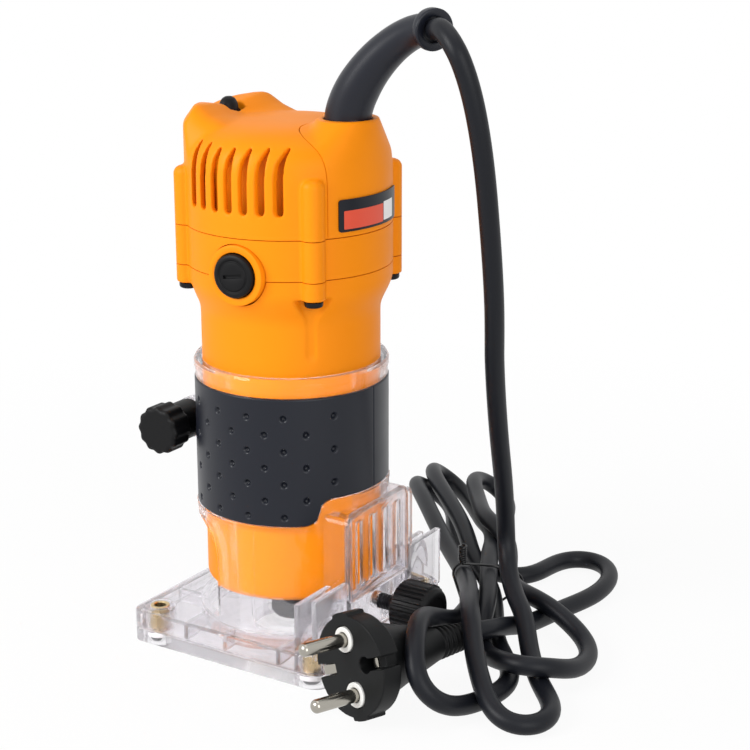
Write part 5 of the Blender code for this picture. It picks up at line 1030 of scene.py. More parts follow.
def plugBody(disc, pinsAt):
    keys = ("back", "tail", "length", "backRadius", "tailRadius", "relief")
    back, tail, length, backRadius, tailRadius, relief = (plug[key] * 1000 for key in keys)
    wide = plug["neck"] * plug["radius"] * 1000
    body = prism("plug_moulding", plugFace(), 0, disc)
    profile = [
        (0, disc / 2), (wide, disc / 2), (wide, disc + 1), (backRadius + 1.2, back - 4), (backRadius, back),
        (tailRadius, tail), (relief, length), (0, length),
    ]
    join(body, lathe("tail", profile, 64))
    cutters, ribs, shift = [], plug["ribs"], plug["ribShift"]
    for k in range(ribs):
        ends = ((tail, length), (tailRadius, relief))
        z, near = (start + (end - start) * (k + shift) / (ribs + shift) for start, end in ends)
        groove = [(near - 0.9, z - 0.55), (near + 3, z - 0.75), (near + 3, z + 0.75), (near - 0.9, z + 0.55)]
        cutters.append(lathe("groove", groove, plug["sides"]))
    room, deep = plug["collarRoom"]
    cutters += [rod("collar_room", room, -3, deep, plug["sides"], at) for at in pinsAt]
    # earth hole at the inner end of the near slot
    cutters.append(rod("earth_hole", plug["holeRadius"], -3, disc, plug["sides"], (-plug["holeAt"], 0, 0)))
    return moulded(cut(body, *cutters), *plug["skin"])


def makePlug():
    disc, pin, tip = plug["disc"] * 1000, plug["pinRadius"] * 1000, -plug["pinLength"] * 1000
    pinsAt = [(0, side * plug["pinSpacing"] * 500, 0) for side in (-1, 1)]
    pieces = [seat(aimPlug(plugBody(disc, pinsAt)), "base", plugPvc, "plug_plastic", "plug_body", sharp=None)]
    turns, end, edge, back = np.radians(np.arange(0, 91, 10)), plug["pinBack"], plug["collar"], plug["collarBack"]
    nose = [(pin * math.sin(a), tip + pin * plug["nose"] * (1 - math.cos(a))) for a in turns]
    ring = [(pin + 0.3, -0.4), (pin + 0.6, -0.6), (edge - 0.3, -0.6), (edge, -0.35), (edge, back), (pin + 0.3, back)]
    for number, at in enumerate(pinsAt, 1):
        turned = lathe("plug_pin_%d_turned" % number, nose + [(pin, end), (0, end)], plug["sides"], at)
        pieces.append(seat(aimPlug(turned), "base", nickelPlate, "nickel", "plug_pin_%d" % number))
        collar = lathe("pin_collar_%d_moulding" % number, ring, plug["sides"], at)
        pieces.append(seat(aimPlug(collar), "base", whiteNylon, "white_plastic", "pin_collar_%d" % number))
    # earth contacts: spring strips in the side slots, one sprung out past the rim and one pressed in
    sprung = [(-9.4, 2.6), (-6.5, 1.4), (-1.5, 1.3), (0.5, 2.8), (0.6, 6.8)]
    sprung += [(0.1, 6.8), (-0.1, 3.3), (-1.7, 1.9), (-6.4, 2.0), (-9.2, 3.2)]
    pressed = [(-9.0, disc / 2 - 0.4), (-6.6, disc / 2 - 0.4), (-6.6, disc / 2 + 0.2), (-9.0, disc / 2 + 0.2)]
    for name, side, outline in (("earth_strip_sprung", 1, sprung), ("earth_strip_pressed", -1, pressed)):
        outline = [(side * (plug["rim"] + u), v) for u, v in outline]
        strip = eased(prism(name, outline, -plug["stripHalf"], plug["stripHalf"], "y"), plug["stripEase"])
        pieces.append(seat(aimPlug(strip), "base", nickelPlate, "nickel"))
    return pieces


plugPieces = makePlug()
print("plug made")


tieSizes = {
    "wire": 0.0005, "slack": 0.0002, "twist": 0.0075, "coil": 0.0013, "turns": 4, "lay": 1.1, "reach": 5, "points": 420,
    "tailPoints": 60, "loopAngles": (100, 461, 3), "sides": 8,
}


def makeTie():
    # wire drawn tight round the waist of the bundle, its ends wound together
    wire, count = tieSizes["wire"], tieSizes["points"]
    ahead = levelHeading(lead["tieHeading"])
    across, up = np.array((-ahead[1], ahead[0], 0)), np.array((0, 0, 1))
    middle = np.array((*lead["tieAt"], 0))
    side, reach = (bundlePath - middle) @ ahead, (bundlePath - middle) @ across
    near = np.abs(reach) < tieSizes["reach"] * lead["diameter"]
    crossing = [k for k in range(len(side) - 1) if side[k] * side[k + 1] < 0 and near[k]]
    strands = np.stack((reach[crossing], bundlePath[crossing, 2]), axis=1)
    margin = lead["diameter"] / 2 + wire + tieSizes["slack"]
    loop = []
    for angle in np.radians(np.arange(*tieSizes["loopAngles"])):
        out = np.array((math.cos(angle), math.sin(angle)))
        loop.append(strands[np.argmax(strands @ out)] + margin * out)
    path = np.array([middle + across * u + up * v for u, v in loop])
    path += np.outer(np.linspace(-1, 1, len(path)) * wire * tieSizes["lay"], ahead)
    root = (path[0] + path[-1]) / 2
    ends = []
    for turn in (0, 1):
        tail = []
        for t in np.linspace(0, 1, tieSizes["tailPoints"]):
            angle, spread = math.pi * (turn + 2 * tieSizes["turns"] * t), tieSizes["coil"] * min(1, 4 * t + 0.4)
            wound = spread * (ahead * math.cos(angle) + across * math.sin(angle))
            tail.append(root + up * tieSizes["twist"] * t + wound)
        ends.append(np.array(tail))
    full = np.concatenate((ends[0][::-1], path, ends[1]))
    tube = sweptTube("tie_wire", evenPoints(full, count) * 1000, np.full(count, wire * 1000), tieSizes["sides"])
    return seat(tube, "base", tieWire, "tie_wire", "cord_tie", sharp=60)


tie = makeTie()
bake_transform(leadTube)


# Rubber grip with two fields of small pits

grip = {
    "inner": 34.15, "outer": 35.5, "low": 54.0, "high": 101.3, "reliefRise": 9.5, "reliefAngle": 40.0, "footWide": 6.0,
    "foot": 3.2, "shoulderWide": 5.5, "shoulder": 4.0, "lean": 0.9, "earHalf": 8.6, "around": 640, "up": 128,
    "climb": (-9.9, 10.8, 90), "ease": 0.35, "seamDepth": 0.3, "seamHalf": 0.5, "pitRadius": 1.5, "pitFlat": 0.35,
    "pitDepth": 1.28, "columnPitch": 6.45, "rowPitch": 12.3, "columns": 9, "rows": 4, "firstColumn": -21.0,
    "firstRow": 94.3,
}


def gripLow(angle):
    # lower edge, lifted over the window: a small foot curve, a steep stretch and a wider shoulder
    foot, shoulder, lean, rise = grip["foot"], grip["shoulder"], grip["lean"], grip["reliefRise"]
    footWide, wide = grip["footWide"], grip["shoulderWide"]
    u = math.radians(grip["reliefAngle"] - abs(angle)) * grip["outer"] + footWide + lean / 2
    if u <= 0:
        climb = 0
    elif u < footWide:
        climb = foot - foot * math.sqrt(1 - (u / footWide) ** 2)
    elif u < footWide + lean:
        climb = foot + (rise - foot - shoulder) * (u - footWide) / lean
    elif u < footWide + lean + wide:
        climb = rise - shoulder + shoulder * math.sqrt(1 - ((footWide + lean + wide - u) / wide) ** 2)
    else:
        climb = rise
    return grip["low"] + climb


def gripAngles(limit):
    # even columns, with more of them where the lower edge climbs
    angles = np.linspace(-limit, limit, grip["around"] + 1)
    climbing = grip["reliefAngle"] + np.linspace(*grip["climb"])
    seam = np.degrees(np.linspace(-1, 1, 13) * grip["seamHalf"] / grip["outer"])
    angles = angles[np.abs(angles) > 1]
    inStep = (np.abs(angles) > climbing[0]) & (np.abs(angles) < climbing[-1])
    return np.sort(np.concatenate((angles[~inStep], climbing, -climbing, seam)))


def swung(section, angle):
    turn = math.radians(angle)
    return [(r * math.cos(turn), r * math.sin(turn), z) for r, z in section]


def gripBlank():
    inner, high, ease = grip["inner"], grip["high"], grip["ease"]
    rows = []
    for angle in gripAngles(180 - math.degrees(math.asin(grip["earHalf"] / grip["outer"]))):
        low = gripLow(angle)
        off = math.radians(abs(angle)) * grip["outer"] / grip["seamHalf"]
        outer = grip["outer"] - grip["seamDepth"] * max(0, 1 - off**2)
        section = [(inner, low), (outer - ease, low), (outer - 0.1, low + 0.1)]
        section += [(outer, z) for z in np.linspace(low + ease, high - ease, grip["up"])]
        section += [(outer - 0.1, high - 0.1), (outer - ease, high), (inner, high)]
        rows.append(swung(section, angle))
    return loft("grip_moulding", rows)


pitInputs = {
    "columns": "Int", "rows": "Int", "columnPitch": "Float", "rowPitch": "Float", "firstColumn": "Float",
    "firstRow": "Float", "outer": "Float", "pitRadius": "Float", "pitFlat": "Float", "pitDepth": "Float",
}
# where each pit lies, step by step: columns evenly spaced across a flank, every other column half a row lower
pitSteps = (
    ("pits", "MULTIPLY", "columns", "rows"),
    ("nudged", "ADD", "index", 0.5),
    ("share", "DIVIDE", "nudged", "rows"),
    ("column", "FLOOR", "share"),
    ("before", "MULTIPLY", "column", "rows"),
    ("row", "SUBTRACT", "index", "before"),
    ("across", "MULTIPLY", "column", "columnPitch"),
    ("x", "ADD", "firstColumn", "across"),
    ("odd", "MODULO", "column", 2),
    ("half", "MULTIPLY", "odd", 0.5),
    ("place", "ADD", "row", "half"),
    ("fall", "MULTIPLY", "place", "rowPitch"),
    ("z", "SUBTRACT", "firstRow", "fall"),
    ("outerSquare", "MULTIPLY", "outer", "outer"),
    ("xSquare", "MULTIPLY", "x", "x"),
    ("ySquare", "SUBTRACT", "outerSquare", "xSquare"),
    ("out", "SQRT", "ySquare"),
    ("y", "MULTIPLY", "out", -1),
    ("dent", "MULTIPLY", "pitDepth", -1),
)


def pitTree():
    tree, sockets, given = newTree("pitField", pitInputs)
    made = {"index": addNode(tree, "GeometryNodeInputIndex").outputs[0], **{key: given[key] for key in pitInputs}}
    for name, operation, *terms in pitSteps:
        numbers = {k: term for k, term in enumerate(terms) if not isinstance(term, str)}
        links = {k: made[term] for k, term in enumerate(terms) if isinstance(term, str)}
        made[name] = addNode(tree, "ShaderNodeMath", {"operation": operation, **numbers}, links).outputs[0]
    line = addNode(tree, "GeometryNodeMeshLine", {}, {"Count": made["pits"]})
    spot = addNode(tree, "ShaderNodeCombineXYZ", {}, {"X": made["x"], "Y": made["y"], "Z": made["z"]})
    near = addNode(tree, "GeometryNodeSetPosition", {}, {"Geometry": line.outputs[0], "Position": spot.outputs[0]})
    far = addNode(tree, "GeometryNodeTransform", {"Scale": (1, -1, 1)}, {"Geometry": near.outputs[0]})
    both = addNode(tree, "GeometryNodeJoinGeometry", {}, {0: near.outputs[0]})
    tree.links.new(far.outputs[0], both.inputs[0])
    gap = addNode(tree, "GeometryNodeProximity", {"target_element": "POINTS"}, {0: both.outputs[0]})
    links = {"Value": gap.outputs["Distance"], "From Min": given["pitFlat"], "From Max": given["pitRadius"]}
    links["To Min"] = made["dent"]
    dip = addNode(tree, "ShaderNodeMapRange", {"interpolation_type": "SMOOTHSTEP", "To Max": 0.0}, links)
    normal = addNode(tree, "GeometryNodeInputNormal").outputs[0]
    push = addNode(tree, "ShaderNodeVectorMath", {"operation": "SCALE"}, {0: normal, "Scale": dip.outputs[0]})
    links = {"Geometry": given["Geometry"], "Offset": push.outputs[0]}
    endTree(tree, given, addNode(tree, "GeometryNodeSetPosition", {}, links))
    return tree, sockets


def makeGrip():
    sleeve = gripBlank()
    runTree(sleeve, *pitTree(), {**{key: grip[key] for key in pitInputs}, "Material": charcoalRubber})
    seat(sleeve, "base", charcoalRubber, "charcoal_rubber", "grip_sleeve", sharp=50)


makeGrip()
print("grip made")


# Knobs

clamp = {
    "x": -41.286, "y": -8.0, "z": 79.0, "hub": 7.3, "hubLength": 10.6, "radius": 9.2, "length": 9.8, "lobes": 12,
    "lobeDepth": 0.65, "lobeSteps": 16, "gap": 0.3, "bolt": 3.0, "boltRoom": 17.6, "skin": (0.3, 5),
}


def lobedOutline(radius, depth, lobes, steps):
    points = []
    for k in range(lobes * steps):
        turn = 2 * math.pi * k / (lobes * steps)
        reach = radius - depth / 2 + depth / 2 * math.cos(turn * lobes)
        points.append((reach * math.cos(turn), reach * math.sin(turn)))
    return points


def makeClampKnob():
    start = clamp["gap"]
    hubEnd = start + clamp["hubLength"]
    end = hubEnd + clamp["length"]
    lobes = (clamp["lobeDepth"], clamp["lobes"], clamp["lobeSteps"])
    rings = []
    for z, shrink in ((hubEnd, 0.9), (hubEnd + 1.0, 0.0), (end - 1.2, 0.0), (end - 0.35, 0.45), (end, 1.4)):
        rings.append([(u, v, z) for u, v in lobedOutline(clamp["radius"] - shrink, *lobes)])
    knob = loft("clamp_knob_moulding", rings)
    join(knob, rod("hub", clamp["hub"], start, hubEnd + 3, 64))
    cut(knob, rod("bolt_room", clamp["bolt"], start - 2, clamp["boltRoom"], 32))
    moulded(knob, *clamp["skin"])
    knob.data.transform(Matrix.Translation((clamp["x"], clamp["y"], clamp["z"])) @ turnTo((0, -1, 0)))
    seat(knob, "clamp", blackNylon, "black_plastic", "clamp_knob", sharp=None)


def ribTree():
    # ribs stood evenly round an axis
    tree, sockets, given = newTree("ribRing", {"Ribs": "Int", "Ring radius": "Float", "Rib": "Object"})
    ring = addNode(tree, "GeometryNodeMeshCircle", {}, {"Vertices": given["Ribs"], "Radius": given["Ring radius"]})
    rib = addNode(tree, "GeometryNodeObjectInfo", {}, {"Object": given["Rib"]})
    outward = addNode(tree, "GeometryNodeInputPosition").outputs[0]
    turn = addNode(tree, "FunctionNodeAlignRotationToVector", {"axis": "X"}, {"Vector": outward})
    links = {"Points": ring.outputs[0], "Instance": rib.outputs["Geometry"], "Rotation": turn.outputs[0]}
    stood = addNode(tree, "GeometryNodeInstanceOnPoints", {}, links)
    both = addNode(tree, "GeometryNodeJoinGeometry", {}, {0: given["Geometry"]})
    tree.links.new(stood.outputs[0], both.inputs[0])
    endTree(tree, given, both)
    return tree, sockets


def threadedRod(name, radius, depth, pitch, low, high, sides=36):
    # helical thread, eight rings to a turn
    rings = []
    for z in np.arange(low, high, pitch / 8):
        ring = []
        for k in range(sides):
            share = abs((z / pitch - k / sides) % 1 * 2 - 1)
            reach, angle = radius - depth * share, 2 * math.pi * k / sides
            ring.append((reach * math.cos(angle), reach * math.sin(angle), z))
        rings.append(ring)
    return loft(name, rings)


def makeGuideKnob():
    start, end, radius = (guideKnob[key] * 1000 for key in ("startX", "endX", "radius"))
    core = radius - guideKnob["ribRoot"]
    profile = [
        (0, start), (core - 2.6, start), (core - 2.2, start + 0.3), (core - 0.8, start + 1.0), (core, start + 2.0),
        (core, end - 1.6), (core - 0.7, end - 0.5), (core - 1.9, end), (core - 3.2, end), (core - 3.6, end - 0.5),
        (0, end - 0.5),
    ]
    knob = lathe("guide_knob_moulding", profile, 96)
    half, low, high = guideKnob["ribHalf"], start + 1.6, end - 1.7
    full, runOut = (guideKnob["ribTall"] - 0.35, guideKnob["ribTall"]), (0.05, 0.1)
    rings = []
    for z, (flank, top) in ((low, runOut), (low + 0.7, full), (high - 0.7, full), (high, runOut)):
        rise = ((-0.3, -half), (flank, -half * 0.8), (top, -half * 0.3))
        rings.append([(u, v, z) for u, v in rise] + [(u, -v, z) for u, v in rise[::-1]])
    rib = loft("rib", rings)
    values = {"Ribs": guideKnob["ribs"], "Ring radius": core, "Rib": rib, "Material": blackNylon}
    runTree(knob, *ribTree(), values)
    bpy.data.objects.remove(rib)
    sizes = (guideKnob[key] for key in ("stud", "thread", "pitch", "studLow", "studHigh"))
    stud = threadedRod("guide_stud_rolled", *sizes)
    for piece in (knob, stud):
        piece.data.transform(Matrix.Translation((0, 0, guideKnob["z"] * 1000)) @ turnTo((1, 0, 0)))
    seat(stud, "guide", blackedSteel, "black_steel", "guide_stud", sharp=60)
    seat(knob, "guide", blackNylon, "black_plastic", "guide_knob", sharp=35)


makeClampKnob()
makeGuideKnob()
print("knobs made")


# Clear base: ribbed flange, split sleeve with a seat for the grip, window rails, walls of the guide channel

base = {
    "front": 41.0, "back": 45.0, "half": 42.5, "frontCorner": 7.5, "backCorner": 4.0, "sole": 5.0, "bitHole": 16.0,
    "flangeLow": 5.3, "flangeTop": 12.5, "skin": 2.0, "rim": 2.4, "rib": 1.8, "ribsAt": (-20.4, -2.7, 21.0),
    "ribEnd": 18, "rearRibsAt": 16.4, "rearRibEnd": -26, "postX": (-36.5, 32.5), "postY": 36.0, "postRadius": 6.0,
    "postTop": 13.7, "insertRoom": 3.9, "bore": 32.8, "seat": 34.1, "outer": 35.5, "sleeveTop": 108.5, "slit": 2.6,
    "partLine": 80.0, "partHalf": 0.7, "ear": 7.5, "rearX": 10.5, "rearLow": 14.0, "rearTop": 49.0, "rearCorner": 13.0,
    "ease": 0.45, "sides": 144,
}
front = {
    "face": 38.7, "railBack": 26.2, "railHalf": 21.8, "railTop": 58.5, "railCorner": 4.4, "windowHalf": 19.2,
    "windowTop": 57.0, "sill": 25.4, "grooveX": 36.35, "groove": 1.5, "grooveHalf": 20.5, "wallNear": 20.2,
    "wallFar": 42.2, "outerWall": (36.5, 38.9, 34.2), "innerWall": (29.0, 31.4, 31.2), "studZ": 19.5, "studRoom": 3.3,
}
posts = [(x, y, 0) for x in base["postX"] for y in (-base["postY"], base["postY"])]


def soleOutline(inset):
    ahead, back, side = base["front"] - inset, base["back"] - inset, base["half"] - inset
    wide, tight = base["frontCorner"] - inset, base["backCorner"] - inset
    points = arc(ahead - wide, side - wide, wide, 0, 90, 14) + arc(tight - back, side - tight, tight, 90, 180, 10)
    points += arc(tight - back, tight - side, tight, 180, 270, 10)
    return points + arc(ahead - wide, wide - side, wide, 270, 360, 14)


def rounded(solid):
    return eased(solid, base["ease"], 3)


def flangeSolid():
    low, top, middle = base["flangeLow"], base["flangeTop"], base["flangeTop"] - base["skin"] / 2
    body = rounded(prism("base_body_moulding", soleOutline(0), low, top))
    cut(body, prism("pocket", soleOutline(base["rim"]), low - 2, top - base["skin"]))
    half, rim = base["rib"] / 2, base["half"] - base["rim"] / 2
    ribs = []
    for x in base["ribsAt"]:
        for side in (-1, 1):
            near, far = sorted((side * rim, side * base["ribEnd"]))
            ribs.append(block("rib", (x - half, near, low + 0.3), (x + half, far, middle)))
    for y in (-base["rearRibsAt"], base["rearRibsAt"]):
        start, end = 1.2 - base["back"], base["rearRibEnd"]
        ribs.append(block("rib", (start, y - half, low + 0.3), (end, y + half, middle)))
    foot, radius, rise = low + 0.15, base["postRadius"], base["postTop"]
    profile = [(0, foot), (radius, foot), (radius, rise - 0.4), (radius - 0.4, rise), (0, rise)]
    return join(body, *ribs, *[lathe("post", profile, 64, at) for at in posts])


def sleeveFoot():
    # wall below the grip, whose top edge follows the grip's lower edge
    rows = []
    low, outer, inner = base["flangeLow"] + 0.6, base["outer"], base["bore"] + 0.4
    for angle in gripAngles(180)[:-1]:
        edge = gripLow(angle) - 0.25
        section = [(inner, low), (outer, low), (outer, edge - 1.9), (outer + 0.35, edge - 1.5)]
        section += [(outer + 0.35, edge - 0.4), (outer, edge), (inner, edge)]
        rows.append(swung(section, angle))
    return loft("foot", rows, closed=True)


def sleeveSolid():
    low, top, seatRadius, outer = base["flangeLow"] + 0.6, base["sleeveTop"], base["seat"], base["outer"]
    rimLow, half = grip["high"] + 0.3, base["partHalf"]
    profile = [
        (0, low), (seatRadius, low), (seatRadius, rimLow), (outer - 0.5, rimLow), (outer - 0.3, rimLow + 0.2),
        (outer - 0.3, top - 3.4), (outer + 0.1, top - 3.0), (outer + 0.1, top - 0.9), (outer - 0.5, top), (0, top),
    ]
    sleeve = join(lathe("sleeve", profile, base["sides"]), sleeveFoot())
    for side in (-1, 1):
        corners = ((outer - 1, -half, base["flangeTop"] - 1), (outer + 0.3, half, grip["low"] - 1))
        line = rounded(block("part_line", *corners))
        line.data.transform(Matrix.Rotation(math.radians(side * base["partLine"]), 4, "Z"))
        join(sleeve, line)
    return sleeve


def railSolid():
    outline = archOutline(front["railHalf"], base["flangeTop"] - 1, front["railTop"], front["railCorner"])
    return rounded(prism("rails", outline, front["railBack"], front["face"], "x"))


def earSolid():
    root, high, low = -base["bore"], clamp["z"] + 1.4 * base["ear"], clamp["z"] - 1.4 * base["ear"]
    outline = arc(clamp["x"], clamp["z"], base["ear"], 90, 270, 20) + [(root, low), (root, high)]
    return rounded(prism("ears", outline, clamp["y"], -clamp["y"], "y"))


def rearOpening():
    edge, corner, top, back = -base["rearX"], base["rearCorner"], base["rearTop"], -base["back"] - 3
    outline = [(back, base["rearLow"]), (edge, base["rearLow"])]
    outline += arc(edge - corner, top - corner, corner, 0, 90, 20) + [(back, top)]
    return prism("rear_opening", outline, -base["half"], base["half"], "y")


def makeBase():
    body = flangeSolid()
    walls = []
    for side in (-1, 1):
        near, far = sorted((side * front["wallNear"], side * front["wallFar"]))
        for start, end, top in (front["outerWall"], front["innerWall"]):
            walls.append(rounded(block("wall", (start, near, base["flangeTop"] - 1), (end, far, top))))
    join(body, sleeveSolid(), railSolid(), earSolid(), *walls)
    cut(body, rod("bore", base["bore"], base["flangeLow"] - 2, base["sleeveTop"] + 2, base["sides"]))
    window, slot, groove, slit = front["windowHalf"], front["windowHalf"] - 0.15, front["grooveHalf"], base["slit"] / 2
    far, clearTop, high = front["face"] + 2, front["railTop"] + 2, base["sleeveTop"] + 2
    grooveX, sill, windowTop = front["grooveX"], front["sill"], front["windowTop"]
    cut(
        body,
        rearOpening(),
        block("window", (base["bore"] / 2, -window, sill), (far, window, windowTop)),
        block("slot", (base["outer"] + 0.3, -slot, windowTop - 2), (far + 0.3, slot, clearTop)),
        block("groove", (grooveX, -groove, sill + 0.3), (grooveX + front["groove"], groove, clearTop)),
        block("slit", (clamp["x"] - 10, -slit, base["rearTop"] - 2), (-20, slit, high)),
        rod("bolt_room", clamp["bolt"], -12, 12, 40, (clamp["x"], 0, clamp["z"]), (0, 1, 0)),
        rod("stud_room", front["studRoom"], 16, far, 40, (0, 0, front["studZ"]), (1, 0, 0)),
        *[rod("insert_room", base["insertRoom"], 3, base["postTop"] + 2, 48, at) for at in posts],
    )
    seat(body, "base", clearPolycarbonate, "clear_plastic", "base_body", sharp=30)


def makeSole():
    high = base["sole"] + 2
    sole = rounded(prism("sole_moulding", soleOutline(0), 0, base["sole"]))
    profile = [(0, -2), (5.8, -2), (5.8, 4.3), (2.3, 4.3), (2.3, high), (0, high)]
    cut(sole, rod("bit_room", base["bitHole"], -2, high, 96), *[lathe("screw_room", profile, 48, at) for at in posts])
    seat(sole, "base", clearPolycarbonate, "clear_plastic", "sole_plate", sharp=30)


deflector = {
    "half": 18.9, "low": 25.7, "high": 58.5, "corner": 4.0, "start": 36.0, "end": 38.4, "bars": 5, "bar": 3.6,
    "slotCorner": 1.6, "ease": 0.35, "tongue": 1.3, "tongueThick": 0.9,
}


def makeDeflector():
    half, low, high, bar = deflector["half"], deflector["low"], deflector["high"], deflector["bar"]
    start, end, corner = deflector["start"], deflector["end"], deflector["corner"]
    grille = prism("deflector_moulding", archOutline(half, low, high, corner), start, end, "x")
    pitch = (2 * half - bar) / (deflector["bars"] - 1)
    lefts = [bar - half + k * pitch for k in range(deflector["bars"] - 1)]
    slots = []
    for left in lefts:
        opening = roundedOutline(left, left + pitch - bar, low + bar, high - bar, deflector["slotCorner"], 8)
        slots.append(prism("slot", opening, start - 2, end + 2, "x"))
    eased(cut(grille, *slots), deflector["ease"], 2)
    reach, middle = half + deflector["tongue"], (start + end) / 2 - 0.55
    corners = ((middle, -reach, low + 0.4), (middle + deflector["tongueThick"], reach, high - corner))
    join(grille, block("tongue", *corners))
    # the tongue that rides in the rails is cleared out of the slots
    slots = []
    for left in lefts:
        right = left + pitch - bar - 0.3
        slots.append(block("slot", (start - 2, left + 0.3, low + bar + 0.3), (end + 2, right, high - bar - 0.3)))
    cut(grille, *slots)
    seat(grille, "deflector", clearPolycarbonate, "clear_plastic", "chip_deflector", sharp=30)


makeBase()
makeSole()
makeDeflector()
print("clear base made")


# Fasteners, set as copies on their points

def copiesTree():
    tree, sockets, given = newTree("seatedCopies", {"Copy": "Object", "Turn": "Float"})
    copy = addNode(tree, "GeometryNodeObjectInfo", {}, {"Object": given["Copy"]})
    number = addNode(tree, "GeometryNodeInputIndex").outputs[0]
    angle = addNode(tree, "ShaderNodeMath", {"operation": "MULTIPLY"}, {0: number, 1: given["Turn"]})
    turn = addNode(tree, "ShaderNodeCombineXYZ", {}, {"Z": angle.outputs[0]})
    links = {"Points": given["Geometry"], "Instance": copy.outputs["Geometry"], "Rotation": turn.outputs[0]}
    endTree(tree, given, addNode(tree, "GeometryNodeInstanceOnPoints", {}, links))
    return tree, sockets


copies = copiesTree()
fasteners = {
    "headRadius": 3.3, "headTall": 2.0, "shank": 1.6, "shankLength": 30, "insert": 3.6, "insertLow": 5.6,
    "insertBore": 2.2, "washer": 5.4, "soleHead": 3.6, "crossHalf": 0.45, "turn": 0.7,
}


def seatCopies(name, model, places, body, material, slot, stem=None):
    # each copy is turned a little further than the last
    mesh = bpy.data.meshes.new(name)
    mesh.from_pydata(places, [], [])
    group = newObject(name, mesh)
    runTree(group, *copies, {"Copy": model, "Turn": fasteners["turn"], "Material": material})
    bpy.data.objects.remove(model)
    replaced = ["%s_%d" % (stem, n + 1) for n in range(len(places))] if stem else []
    seat(group, body, material, slot, *replaced, sharp=30)


def crossed(screw, reach, low, high):
    # recess for the driver
    half = fasteners["crossHalf"]
    return cut(screw, *[block("cross", (-a, -b, low), (a, b, high)) for a, b in ((reach, half), (half, reach))])


def makeFasteners():
    radius, tall, shank = fasteners["headRadius"], fasteners["headTall"], fasteners["shank"]
    low = head["bossLow"] - tall - 0.3
    end = low + fasteners["shankLength"]
    profile = [(0, low), (radius - 0.9, low), (radius - 0.25, low + 0.35), (radius, low + 0.9), (radius, low + tall)]
    screw = lathe("screw", profile + [(shank, low + tall), (shank, end), (0, end)], 40)
    crossed(screw, 1.9, low - 1, low + 0.9)
    seatCopies("head_screws_turned", screw, bosses, "motor", blackedSteel, "black_steel", "head_screw")
    top, foot, bore, edge = base["postTop"], fasteners["insertLow"], fasteners["insertBore"], fasteners["insert"]
    profile = [(bore, foot), (edge, foot), (edge, top - 0.2), (edge - 0.2, top), (bore + 0.3, top), (bore, top - 0.3)]
    insert = lathe("insert", profile, 48)
    seatCopies("sole_inserts_turned", insert, posts, "base", turnedBrass, "brass", "sole_insert")
    # the sole screws take the blacked steel as painted shade, dark like their threaded bores lying in shade under the
    # clear base
    edge = fasteners["soleHead"]
    profile = [(0, 0.3), (edge - 0.5, 0.3), (edge, 0.8), (edge, 2.3), (1.9, 2.3), (1.9, 12.2), (0, 12.2)]
    screw = crossed(lathe("screw", profile, 40), 2.1, 0, 1.2)
    seatCopies("sole_screws_turned", screw, posts, "base", blackedSteel, "steel", "sole_screw")
    edge = fasteners["washer"]
    profile = [(2.1, 2.4), (edge - 0.2, 2.4), (edge, 2.6), (edge, 4.0), (edge - 0.2, 4.2), (2.1, 4.2)]
    washer = lathe("washer", profile, 48)
    seatCopies("sole_washers_moulded", washer, posts, "base", whiteNylon, "white_plastic")


makeFasteners()
print("fasteners made")


# CAD nodes that keep their shape and take a better finish

kept = {
    turnedBrass: ["brush_holder_1", "brush_holder_2"],
    groundSteel: ["clamp_bolt", "collet", "upper_bearing", "lower_bearing", "stator_core", "armature_core"],
    dullSteel: ["spindle_shaft"],
    blackedSteel: ["collet_nut"],
    bareCopper: ["field_coil_1", "field_coil_2", "commutator"],
    blackNylon: ["cooling_fan", "carbon_brush_1", "carbon_brush_2"],
}
for material, names in kept.items():
    for name in names:
        mesh = frame["nodes"][name].data
        mesh.materials.clear()
        mesh.materials.append(material)
print("finishes set")


# Stage: white floor, soft lamps and the camera of the photograph

stage = {
    "size": 6.0, "below": 0.0002, "white": "#FFFFFF", "floor": "#F4F4F4", "nearGlow": 0.93, "near": 0.16, "far": 0.42,
    "ambient": 0.42, "lampAim": (0, 0, 0.1),
}


def seenRay(tree):
    # one for what the camera sees, also in a reflection or through the clear plastic
    path = addNode(tree, "ShaderNodeLightPath").outputs
    links = {0: path["Is Camera Ray"], 1: path["Is Glossy Ray"]}
    direct = addNode(tree, "ShaderNodeMath", {"operation": "MAXIMUM"}, links)
    links = {0: direct.outputs[0], 1: path["Is Transmission Ray"]}
    return addNode(tree, "ShaderNodeMath", {"operation": "MAXIMUM"}, links).outputs[0]


def makeFloor():
    bpy.ops.mesh.primitive_plane_add(size=stage["size"])
    floor = bpy.context.object
    floor.name = "floor"
    floor.location.z = -stage["below"]
    material = bpy.data.materials.new("paleFloor")
    material.use_nodes = True
    tree = material.node_tree
    tree.nodes.clear()
    matt = addNode(tree, "ShaderNodeBsdfDiffuse", {"Color": hexColour(stage["floor"])})
    glow = addNode(tree, "ShaderNodeEmission", {"Color": hexColour(stage["white"]), "Strength": 1.0})
    place = addNode(tree, "ShaderNodeTexCoord").outputs["Object"]
    away = addNode(tree, "ShaderNodeVectorMath", {"operation": "LENGTH"}, {0: place})
    limits = {"From Min": stage["near"], "From Max": stage["far"], "To Min": stage["nearGlow"], "To Max": 1.0}
    level = addNode(tree, "ShaderNodeMapRange", limits, {"Value": away.outputs["Value"]})
    share = addNode(tree, "ShaderNodeMath", {"operation": "MULTIPLY"}, {0: seenRay(tree), 1: level.outputs[0]})
    mix = addNode(tree, "ShaderNodeMixShader", {}, {0: share.outputs[0], 1: matt.outputs[0], 2: glow.outputs[0]})
    addNode(tree, "ShaderNodeOutputMaterial", {}, {"Surface": mix.outputs[0]})
    floor.data.materials.append(material)


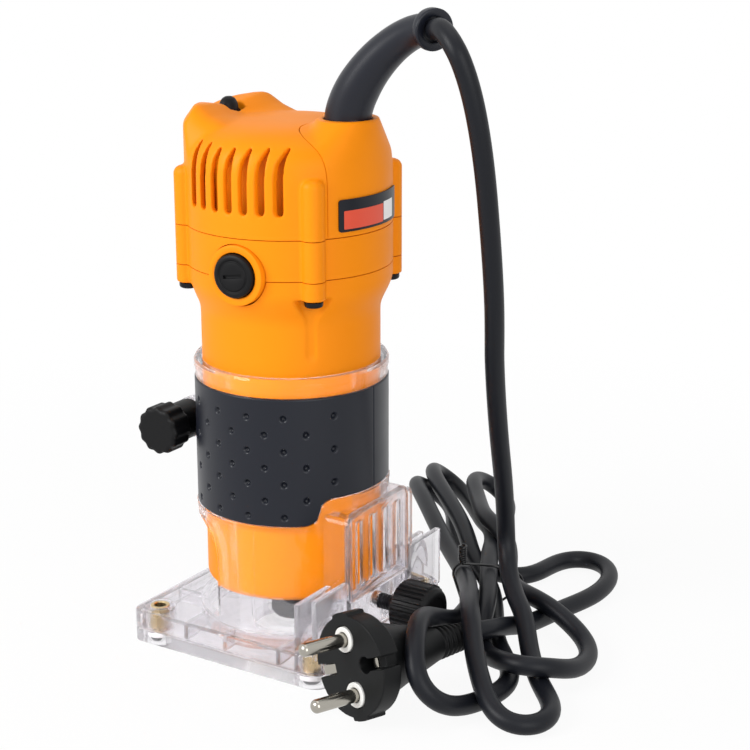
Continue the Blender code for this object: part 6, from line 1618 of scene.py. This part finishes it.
def makeWorld():
    world = bpy.data.worlds.new("studio")
    bpy.context.scene.world = world
    world.use_nodes = True
    tree = world.node_tree
    tree.nodes.clear()
    level = addNode(tree, "ShaderNodeMapRange", {"To Min": stage["ambient"], "To Max": 1.0}, {"Value": seenRay(tree)})
    sky = addNode(tree, "ShaderNodeBackground", {"Color": hexColour(stage["white"])}, {"Strength": level.outputs[0]})
    addNode(tree, "ShaderNodeOutputWorld", {}, {"Surface": sky.outputs[0]})


lamps = (
    ("keyLamp", (-0.55, -1.0, 0.75), 0.6, 12.5),
    ("fillLamp", (1.1, -0.7, 0.5), 0.9, 6.5),
    ("topLamp", (0.1, 0.1, 1.3), 0.8, 2.0),
)


def makeLamps():
    for name, place, size, watts in lamps:
        data = bpy.data.lights.new(name, "AREA")
        data.size, data.energy = size, watts
        lamp = newObject(name, data)
        lamp.location = place
        lamp.rotation_euler = (Vector(stage["lampAim"]) - Vector(place)).to_track_quat("-Z", "Y").to_euler()


view = {
    "azimuth": 35.281, "distance": 0.65135, "height": 0.29395, "yaw": -2.679, "pitch": 16.61, "roll": -0.117,
    "focalPixels": 1852.45, "framePixels": 750, "sensor": 36.0,
}


def makeCamera():
    azimuth, yaw, pitch, roll = (math.radians(view[key]) for key in ("azimuth", "yaw", "pitch", "roll"))
    turn = azimuth + yaw
    back = Vector((math.sin(turn) * math.cos(pitch), -math.cos(turn) * math.cos(pitch), math.sin(pitch)))
    right = Vector((math.cos(turn), math.sin(turn), 0))
    up = back.cross(right)
    side = right * math.cos(roll) + up * math.sin(roll)
    over = up * math.cos(roll) - right * math.sin(roll)
    data = bpy.data.cameras.new("photoCamera")
    data.sensor_width = data.sensor_height = view["sensor"]
    data.lens = view["focalPixels"] * view["sensor"] / view["framePixels"]
    camera = newObject("photoCamera", data)
    away = view["distance"]
    place = Vector((away * math.sin(azimuth) + axisX, -away * math.cos(azimuth), view["height"]))
    camera.matrix_world = Matrix.Translation(place) @ Matrix((side, over, back)).transposed().to_4x4()
    bpy.context.scene.camera = camera


makeFloor()
makeWorld()
makeLamps()
makeCamera()
bpy.context.scene.view_settings.view_transform = "Standard"
print("stage set")
